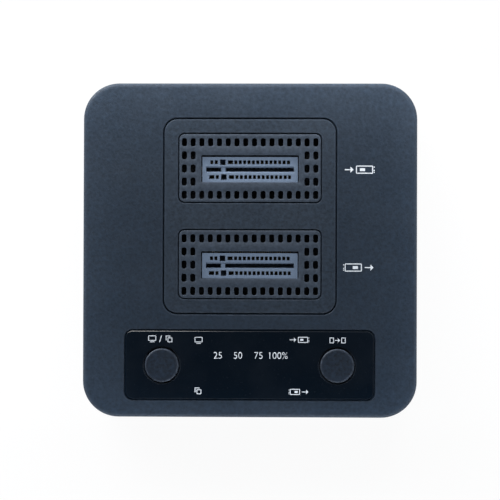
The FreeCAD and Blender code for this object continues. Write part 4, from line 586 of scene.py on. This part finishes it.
def makeVentTree():
    counts = ("Columns", "Rows", "End Columns")
    inputs = {label: "NodeSocketInt" if label in counts else number
              for label in (*ventPlate, "Width", "Length", "Thickness")}
    inputs["Material"] = "NodeSocketMaterial"
    tree, given, result = newTree(
        "ventPlate", "GeometryNodeTree", inputs, {"Geometry": "NodeSocketGeometry"})

    # where the holes are: full rows at both ends, only the outer columns beside the window
    spanX = calc(tree, "MULTIPLY", calc(tree, "SUBTRACT", given["Columns"], 1.0), given["Pitch X"])
    spanY = calc(tree, "MULTIPLY", calc(tree, "SUBTRACT", given["Rows"], 1.0), given["Pitch Y"])
    inputs = {"Size X": spanX, "Size Y": spanY, "Vertices X": given["Columns"],
              "Vertices Y": given["Rows"]}
    grid = put(tree, "GeometryNodeMeshGrid", inputs).outputs["Mesh"]
    position = put(tree, "GeometryNodeInputPosition").outputs[0]
    spot = put(tree, "ShaderNodeSeparateXYZ", {0: position})
    endColumns = calc(tree, "SUBTRACT", given["End Columns"], 0.5)
    ends = calc(tree, "MULTIPLY", endColumns, given["Pitch X"])
    limitX = calc(tree, "SUBTRACT", calc(tree, "MULTIPLY", spanX, 0.5), ends)
    halfRow = calc(tree, "MULTIPLY", given["Pitch Y"], 0.5)
    limitY = calc(tree, "SUBTRACT", calc(tree, "MULTIPLY", spanY, 0.5), halfRow)
    insideX = calc(tree, "LESS_THAN", calc(tree, "ABSOLUTE", spot.outputs["X"]), limitX)
    insideY = calc(tree, "LESS_THAN", calc(tree, "ABSOLUTE", spot.outputs["Y"]), limitY)
    inputs = {"Geometry": grid, "Selection": calc(tree, "MULTIPLY", insideX, insideY)}
    spots = put(tree, "GeometryNodeDeleteGeometry", inputs, domain="POINT").outputs["Geometry"]

    # each opening, and the plate's own edge, is a wall with a rounded rim
    def wider(size, rim):
        return calc(tree, "ADD", size, calc(tree, "MULTIPLY", rim, 2.0))

    def moved(shape, shift):
        offset = put(tree, "ShaderNodeCombineXYZ", {"Y": shift}).outputs[0]
        inputs = {"Geometry": shape, "Translation": offset}
        return put(tree, "GeometryNodeTransform", inputs).outputs["Geometry"]

    def scatter(shape):
        inputs = {"Points": spots, "Instance": shape}
        copies = put(tree, "GeometryNodeInstanceOnPoints", inputs).outputs["Instances"]
        copies = put(tree, "GeometryNodeRealizeInstances", {0: copies}).outputs[0]
        return moved(copies, given["Hole Shift"])

    def recentred(shape):
        return moved(shape, given["Window Shift"])

    holeSteps, plateSteps, rimSteps = 4, 8, 3  # points that round a corner, and a rim
    holeRim = given["Rim"]
    inward = calc(tree, "MULTIPLY", given["Outer Rim"], -1.0)
    inset = calc(tree, "MULTIPLY", given["Inset"], -1.0)
    plateWidth, plateLength = wider(given["Width"], inset), wider(given["Length"], inset)
    holeSize = given["Hole Width"], given["Hole Length"]
    windowSize = given["Window Width"], given["Window Length"]
    shapes = (
        (*holeSize, given["Hole Corner"], holeRim, holeSteps, scatter),
        (*windowSize, given["Window Corner"], holeRim, holeSteps, recentred),
        (plateWidth, plateLength, given["Plate Corner"], inward, plateSteps, None),
    )
    walls, topLines, bottomLines = [], [], []
    for width, length, corner, rim, steps, repeat in shapes:
        line = roundedOutline(tree, width, length, corner, steps)
        wall = sweptEdge(tree, line, edgeProfile(tree, rim, given["Thickness"], rimSteps))
        top = roundedOutline(
            tree, wider(width, rim), wider(length, rim), calc(tree, "ADD", corner, rim), steps)
        keep = repeat or (lambda shape: shape)
        walls.append(keep(wall))
        topLines.append(keep(top))
        bottomLines.append(keep(line))
    faces = [put(tree, "GeometryNodeFillCurve", {"Curve": joined(tree, lines)}, mode="TRIANGLES")
             for lines in (topLines, bottomLines)]
    depth = calc(tree, "MULTIPLY", given["Thickness"], -1.0)
    drop = put(tree, "ShaderNodeCombineXYZ", {"Z": depth})
    inputs = {"Geometry": faces[1].outputs["Mesh"], "Translation": drop.outputs[0]}
    under = put(tree, "GeometryNodeTransform", inputs).outputs["Geometry"]
    plate = joined(tree, [*walls, faces[0].outputs["Mesh"], under])
    inputs = {"Geometry": plate, "Distance": given["Seam"]}
    plate = put(tree, "GeometryNodeMergeByDistance", inputs).outputs["Geometry"]
    whole = put(tree, "GeometryNodeRealizeInstances", {0: plate}).outputs[0]
    inputs = {"Geometry": whole, "Material": given["Material"]}
    dressed = put(tree, "GeometryNodeSetMaterial", inputs).outputs["Geometry"]
    fill(tree, result, {"Geometry": dressed})
    return tree


# runs a geometry tree once and keeps the result as a plain mesh
def runTree(tree, values):
    carrier = bpy.data.objects.new("carrier", bpy.data.meshes.new("carrier"))
    bpy.context.scene.collection.objects.link(carrier)
    modifier = carrier.modifiers.new("shape", "NODES")
    modifier.node_group = tree
    identifiers = {item.name: item.identifier for item in tree.interface.items_tree
                   if item.in_out == "INPUT"}
    for name, value in values.items():
        modifier[identifiers[name]] = value
    bpy.context.view_layer.update()
    evaluated = carrier.evaluated_get(bpy.context.evaluated_depsgraph_get())
    mesh = bpy.data.meshes.new_from_object(evaluated)
    bpy.data.objects.remove(carrier)
    return mesh


# welds seams, turns faces outwards, shades; gives the number of edges still open
def tidyMesh(mesh, weld, sharpAngle):
    work = bmesh.new()
    work.from_mesh(mesh)
    bmesh.ops.remove_doubles(work, verts=work.verts, dist=weld)
    bmesh.ops.recalc_face_normals(work, faces=work.faces)
    openEdges = sum(1 for edge in work.edges if not edge.is_manifold)
    work.to_mesh(mesh)
    work.free()
    mesh.shade_smooth()
    mesh.set_sharp_from_angle(angle=math.radians(sharpAngle))
    return openEdges


ventWeld, ventSharpAngle = 0.0001 * mm, 40
ventTree = makeVentTree()
for bay in ("target", "source"):
    low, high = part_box(f"{bay}_grille")
    plate = runTree(ventTree, {
        **ventPlate, "Width": high.x - low.x, "Length": high.y - low.y,
        "Thickness": high.z - low.z, "Material": finishes["grille_plastic"]})
    plate.transform(Matrix.Translation(((low.x + high.x) / 2, (low.y + high.y) / 2, high.z)))
    openEdges = tidyMesh(plate, ventWeld, ventSharpAngle)
    piece = addPiece(f"{bay}_vent_plate", plate, "chassis", finishes["grille_plastic"])
    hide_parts(f"{bay}_grille")
    print(f"{bay} vent plate:", len(plate.polygons), "faces,", openEdges, "open edges,",
          [round(v / mm, 2) for v in (*piece.bound_box[0], *piece.bound_box[6])])


# printed marks: pale ink, as numbers and plain pictograms

inkLook = {
    "colour": paint(226, 231, 238), "roughness": 0.55, "specular": 0.3,
    "screenScale": 9000.0, "screenSpan": (0.3, 0.6), "screenDepth": 0.004 * mm, "thinnest": 0.82,
    "thickness": 0.012 * mm, "sink": 0.004 * mm,
}


def makeInk(name, look):
    material, tree, shader, place = newMaterial(
        name, look["roughness"], specular=look["specular"])
    screen = noise(tree, place, look["screenScale"], detail=2.0, roughness=0.6)
    thin = remap(tree, screen, *look["screenSpan"], toLow=look["thinnest"])
    base = shaded(tree, look["colour"][:3], thin)
    fill(tree, shader, {"Base Color": base, "Normal": bump(tree, screen, look["screenDepth"])})
    return material


ink = makeInk("paleInk", inkLook)
inkHeight = inkLook["thickness"] + inkLook["sink"]


def curveMesh(curve):
    holder = bpy.data.objects.new("holder", curve)
    bpy.context.scene.collection.objects.link(holder)
    bpy.context.view_layer.update()
    evaluated = holder.evaluated_get(bpy.context.evaluated_depsgraph_get())
    mesh = bpy.data.meshes.new_from_object(evaluated)
    bpy.data.objects.remove(holder)
    return mesh


# flat closed outlines, in millimetres, as one mark; an outline inside another cuts it out
def drawMark(outlines):
    curve = bpy.data.curves.new("mark", "CURVE")
    curve.dimensions = "2D"
    curve.fill_mode = "BOTH"
    curve.extrude = inkHeight / 2
    for outline in outlines:
        spline = curve.splines.new("POLY")
        spline.points.add(len(outline) - 1)
        for point, (x, y) in zip(spline.points, outline):
            point.co = (x * mm, y * mm, 0.0, 1.0)
        spline.use_cyclic_u = True
    return curveMesh(curve)


numberLook = {"height": 1.5, "weight": -0.1, "drawnAt": 10.0, "weld": 0.00001}


# characters drawn large, then scaled to a height and a width in millimetres
def drawNumber(text, width):
    curve = bpy.data.curves.new("number", "FONT")
    curve.body = text
    curve.size = numberLook["drawnAt"] * mm
    curve.offset = numberLook["weight"] * mm
    mesh = curveMesh(curve)
    xs = [vertex.co.x for vertex in mesh.vertices]
    ys = [vertex.co.y for vertex in mesh.vertices]
    height = numberLook["height"]
    scale = Vector((width * mm / (max(xs) - min(xs)), height * mm / (max(ys) - min(ys)), 1.0))
    middle = Vector(((max(xs) + min(xs)) / 2, (max(ys) + min(ys)) / 2, 0.0))
    mesh.transform(Matrix.Diagonal((*scale, 1.0)) @ Matrix.Translation(-middle))
    work = bmesh.new()
    work.from_mesh(mesh)
    bmesh.ops.remove_doubles(work, verts=work.verts, dist=numberLook["weld"] * mm)
    raised = bmesh.ops.extrude_face_region(work, geom=work.faces[:])
    lift = [item for item in raised["geom"] if isinstance(item, bmesh.types.BMVert)]
    bmesh.ops.translate(work, verts=lift, vec=(0.0, 0.0, inkHeight))
    bmesh.ops.recalc_face_normals(work, faces=work.faces)
    work.verts.index_update()  # extruding leaves the faces in a chance order, so they are sorted
    inOrder = sorted(work.faces, key=lambda face: [vertex.index for vertex in face.verts])
    rank = {face: index for index, face in enumerate(inOrder)}
    work.faces.sort(key=lambda face: rank[face])
    work.to_mesh(mesh)
    work.free()
    mesh.transform(Matrix.Translation((0.0, 0.0, -inkHeight / 2)))
    return mesh


cornerSteps = 4


# outlines below are in millimetres, round a middle at x, y
def box2d(x, y, width, height, corner=0.0):
    if not corner:
        return [(x - width / 2, y - height / 2), (x + width / 2, y - height / 2),
                (x + width / 2, y + height / 2), (x - width / 2, y + height / 2)]
    points = []
    for turn, (sideX, sideY) in enumerate([(1, 1), (-1, 1), (-1, -1), (1, -1)]):
        for step in range(cornerSteps + 1):
            angle = math.radians(90 * (turn + step / cornerSteps))
            points.append((x + sideX * (width / 2 - corner) + corner * math.cos(angle),
                           y + sideY * (height / 2 - corner) + corner * math.sin(angle)))
    return points


def frame2d(x, y, width, height, stroke, corner):
    return [box2d(x, y, width, height, corner),
            box2d(x, y, width - 2 * stroke, height - 2 * stroke, max(corner - stroke, 0.01))]


def arrow2d(x, y, length, height, stroke):
    tail, neck, tip = x - length / 2, x + (length / 2 - height / 2), x + length / 2
    return [[(tail, y - stroke / 2), (neck, y - stroke / 2), (neck, y - height / 2), (tip, y),
             (neck, y + height / 2), (neck, y + stroke / 2), (tail, y + stroke / 2)]]


# a screen on its foot; the parts of a mark are shares of its size
def monitorMark(x, y, size, stroke):
    return [*frame2d(x, y + 0.12 * size, 1.25 * size, 0.84 * size, stroke, 0.12 * size),
            box2d(x, y - 0.46 * size, 0.7 * size, stroke)]


# two sheets, the hind one showing as a bent strip
def copyMark(x, y, size, stroke):
    left, right, low, high = x - 0.5 * size, x + 0.2 * size, y - 0.2 * size, y + 0.5 * size
    endX, endY = x - 0.34 * size, y + 0.32 * size
    back = [(left, low), (left, high), (right, high), (right, endY), (right - stroke, endY),
            (right - stroke, high - stroke), (left + stroke, high - stroke),
            (left + stroke, low + stroke), (endX, low + stroke), (endX, low)]
    side, shift = 0.72 * size, 0.14 * size
    return [back, *frame2d(x + shift, y - shift, side, side, stroke, 0.1 * size)]


# a drive seen flat: card outline with its notched edge
def cardMark(x, y, width, height, stroke, way):
    chip = box2d(x - way * width * 0.12, y, width * 0.3, height * 0.36)
    edge = x + way * (width / 2 + stroke * 1.1)
    pins = [box2d(edge, y + height * step, stroke * 1.1, height * 0.13)
            for step in (-0.32, -0.1, 0.32)]
    return [*frame2d(x, y, width, height, stroke, height * 0.12), chip, *pins]


# text, place along the row and width, in millimetres
percentMarks = (("25", -7.2, 1.88), ("50", -2.6, 1.9), ("75", 2.06, 1.9), ("100%", 6.66, 4.16))
percentRow = -24.0
fine, bold, bolder = 0.17, 0.22, 0.24  # strokes of the panel's marks, and of the bays' marks
slash = [[(-20.62, -21.05), (-20.42, -21.05), (-19.98, -19.55), (-20.18, -19.55)]]
panelMarks = {
    "mode_key_mark": [
        *monitorMark(-22.2, -20.3, 1.45, fine), *slash, *copyMark(-18.35, -20.3, 1.5, fine)],
    "computer_mark": monitorMark(-11.6, -20.6, 1.45, fine),
    "copy_mark": copyMark(-11.7, -32.1, 1.5, fine),
    "write_mark": [
        *arrow2d(9.9, -20.4, 1.5, 1.0, fine), *cardMark(12.2, -20.4, 2.3, 1.35, fine, 1)],
    "read_mark": [
        *cardMark(10.4, -32.25, 2.3, 1.35, fine, -1), *arrow2d(12.7, -32.25, 1.5, 1.0, fine)],
    "start_key_mark": [
        *frame2d(18.75, -20.5, 1.0, 1.3, fine, 0.12), *arrow2d(20.06, -20.5, 1.15, 1.0, fine),
        *frame2d(21.4, -20.5, 1.0, 1.3, fine, 0.12)],
}
housingMarks = {
    "target_bay_mark": [
        *arrow2d(22.6, 18.4, 2.0, 1.4, bolder), *cardMark(26.1, 18.4, 3.9, 1.85, bold, 1)],
    "source_bay_mark": [
        *cardMark(23.6, -3.9, 3.9, 1.85, bold, -1), *arrow2d(27.2, -3.9, 2.0, 1.4, bolder)],
}


# puts a mark on a face, sunk a little so that no gap shows
def addPrint(name, mesh, x, y, surface):
    lift = surface + (inkLook["thickness"] - inkLook["sink"]) / 2
    mesh.transform(Matrix.Translation((x * mm, y * mm, lift)))
    addPiece(name, mesh, "chassis", ink)


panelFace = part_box("control_overlay")[1].z
for text, x, width in percentMarks:
    addPrint(f"percent_{text.strip('%')}_mark", drawNumber(text, width), x, percentRow, panelFace)
for name, outlines in panelMarks.items():
    addPrint(name, drawMark(outlines), 0.0, 0.0, panelFace)
for name, outlines in housingMarks.items():
    addPrint(name, drawMark(outlines), 0.0, 0.0, topFace)
print("marks:", len(percentMarks) + len(panelMarks) + len(housingMarks), "printed")


# floor, sky and lamps

floorLook = {
    "colour": (0.82, 0.82, 0.83, 1.0), "roughness": 0.9, "specular": 0.1,
    "patchSize": 0.5, "drift": 0.01, "veil": 0.88, "white": 1.05, "reach": 3.0,
}


# 1 where a surface is seen: by the camera, or mirrored in gloss, or through glass
def whereSeen(tree):
    path = put(tree, "ShaderNodeLightPath").outputs
    seen = calc(tree, "MAXIMUM", path["Is Camera Ray"], path["Is Glossy Ray"])
    return calc(tree, "MAXIMUM", seen, path["Is Transmission Ray"])


# pale floor, veiled with plain white where it is seen, so that a soft shadow is left
def makeFloor(look):
    material, tree, shader, place = newMaterial(
        "paleFloor", look["roughness"], specular=look["specular"])
    base = drifted(tree, place, look["colour"], look)
    veil = calc(tree, "MULTIPLY", whereSeen(tree), look["veil"])
    fill(tree, shader, {"Base Color": base})
    white = put(tree, "ShaderNodeEmission", {"Strength": look["white"]})
    both = put(tree, "ShaderNodeMixShader", {0: veil, 1: shader.outputs[0], 2: white.outputs[0]})
    output = next(node for node in tree.nodes if node.type == "OUTPUT_MATERIAL")
    fill(tree, output, {"Surface": both.outputs[0]})
    mesh = bpy.data.meshes.new("floor")
    corners = [(x * look["reach"], y * look["reach"], 0.0)
               for x, y in ((-1, -1), (1, -1), (1, 1), (-1, 1))]
    mesh.from_pydata(corners, [], [(0, 1, 2, 3)])
    mesh.materials.append(material)
    floor = bpy.data.objects.new("floor", mesh)
    bpy.context.scene.collection.objects.link(floor)


skyLook = {
    "horizon": (1.0, 1.0, 1.0, 1.0), "zenith": (0.11, 0.118, 0.132, 1.0),
    "whiteUpTo": 0.1, "greyFrom": 0.5, "fill": 0.15,
}


# white round the horizon and grey above it where it is seen, and an even fill for the rest
def makeSky(look):
    world = bpy.data.worlds.new("studio")
    bpy.context.scene.world = world
    world.use_nodes = True
    tree = world.node_tree
    tree.nodes.clear()
    direction = put(tree, "ShaderNodeTexCoord").outputs["Generated"]
    height = put(tree, "ShaderNodeSeparateXYZ", {0: direction}).outputs["Z"]
    rise = remap(tree, height, look["whiteUpTo"], look["greyFrom"])
    backdrop = mixColours(tree, rise, look["horizon"], look["zenith"])
    seen = whereSeen(tree)
    level = between(tree, seen, look["fill"], 1.0)
    colourSeen = mixColours(tree, seen, (1.0, 1.0, 1.0, 1.0), backdrop)
    sky = put(tree, "ShaderNodeBackground", {"Color": colourSeen, "Strength": level})
    put(tree, "ShaderNodeOutputWorld", {"Surface": sky.outputs[0]})


coolTint, plainTint = (0.9, 0.95, 1.0), (0.985, 0.97, 0.955)
highFace, sideFace, frontFace = (0.30, 0.10), (0.50, 0.16), (0.50, 0.10)  # in metres
rearFace, rearTube, tube = (0.60, 0.12), (0.16, 0.012), (0.16, 0.008)
lamps = {  # place, face, power in watts, tint
    "highSoftbox": ((-0.02, 0.14, 0.30), highFace, 0.5, coolTint),
    "rearSoftbox": ((-0.30, 0.48, 0.078), rearFace, 4.5, plainTint),
    "leftSoftbox": ((-0.46, -0.02, 0.26), sideFace, 0.2, coolTint),
    "rightSoftbox": ((0.46, -0.02, 0.26), sideFace, 0.4, coolTint),
    "frontSoftbox": ((0.0, -0.50, 0.12), frontFace, 0.9, coolTint),
    "rearStrip": ((0.002, 0.0441, 0.04), rearTube, 0.039, plainTint),
    "leftStrip": ((-0.0421, 0.0, 0.038), tube, 0.008, coolTint),
    "rightStrip": ((0.0421, 0.0, 0.038), tube, 0.009, coolTint),
    "frontStrip": ((0.0, -0.0421, 0.038), tube, 0.012, coolTint),
}


# softboxes and, close to the upper edges, strips that give light but no reflection
def makeLamps():
    for name, (place, face, power, tint) in lamps.items():
        light = bpy.data.lights.new(name, "AREA")
        light.shape = "RECTANGLE"
        light.size, light.size_y = face
        light.energy = power
        light.color = tint
        holder = bpy.data.objects.new(name, light)
        holder.visible_camera = False
        holder.visible_glossy = not name.endswith("Strip")
        holder.location = place
        aim = Vector((0.0, 0.0, topFace)) - Vector(place)
        holder.rotation_euler = aim.to_track_quat("-Z", "Y").to_euler()
        bpy.context.scene.collection.objects.link(holder)


# camera straight above, a little off the axis, as far off as keeps the sides hidden
shot = {
    "spot": (20 * mm, -8 * mm, 600 * mm), "aim": (0.06 * mm, 0.03 * mm, 0.0), "roll": 0.18,
    "frameWidth": 113.98 * mm, "sensor": 36.0, "clip": (0.05, 20.0),
}


def makeCamera():
    aim = Vector(shot["aim"]) + Vector((0.0, 0.0, topFace))
    spot = Vector(shot["spot"]) + Vector((0.0, 0.0, topFace))
    data = bpy.data.cameras.new("camera")
    data.sensor_width = shot["sensor"]
    data.lens = shot["sensor"] * (spot - aim).length / shot["frameWidth"]
    data.clip_start, data.clip_end = shot["clip"]
    camera = bpy.data.objects.new("camera", data)
    back = (spot - aim).normalized()
    right = Vector((0.0, 1.0, 0.0)).cross(back).normalized()
    turned = Matrix((right, back.cross(right), back)).transposed().to_4x4()
    turned = turned @ Matrix.Rotation(math.radians(shot["roll"]), 4, "Z")
    camera.matrix_world = Matrix.Translation(spot) @ turned
    bpy.context.scene.collection.objects.link(camera)
    bpy.context.scene.camera = camera


makeFloor(floorLook)
makeSky(skyLook)
makeLamps()
makeCamera()
bpy.context.scene.view_settings.view_transform = "Standard"
print("stage:", len(lamps), "lamps and the camera")
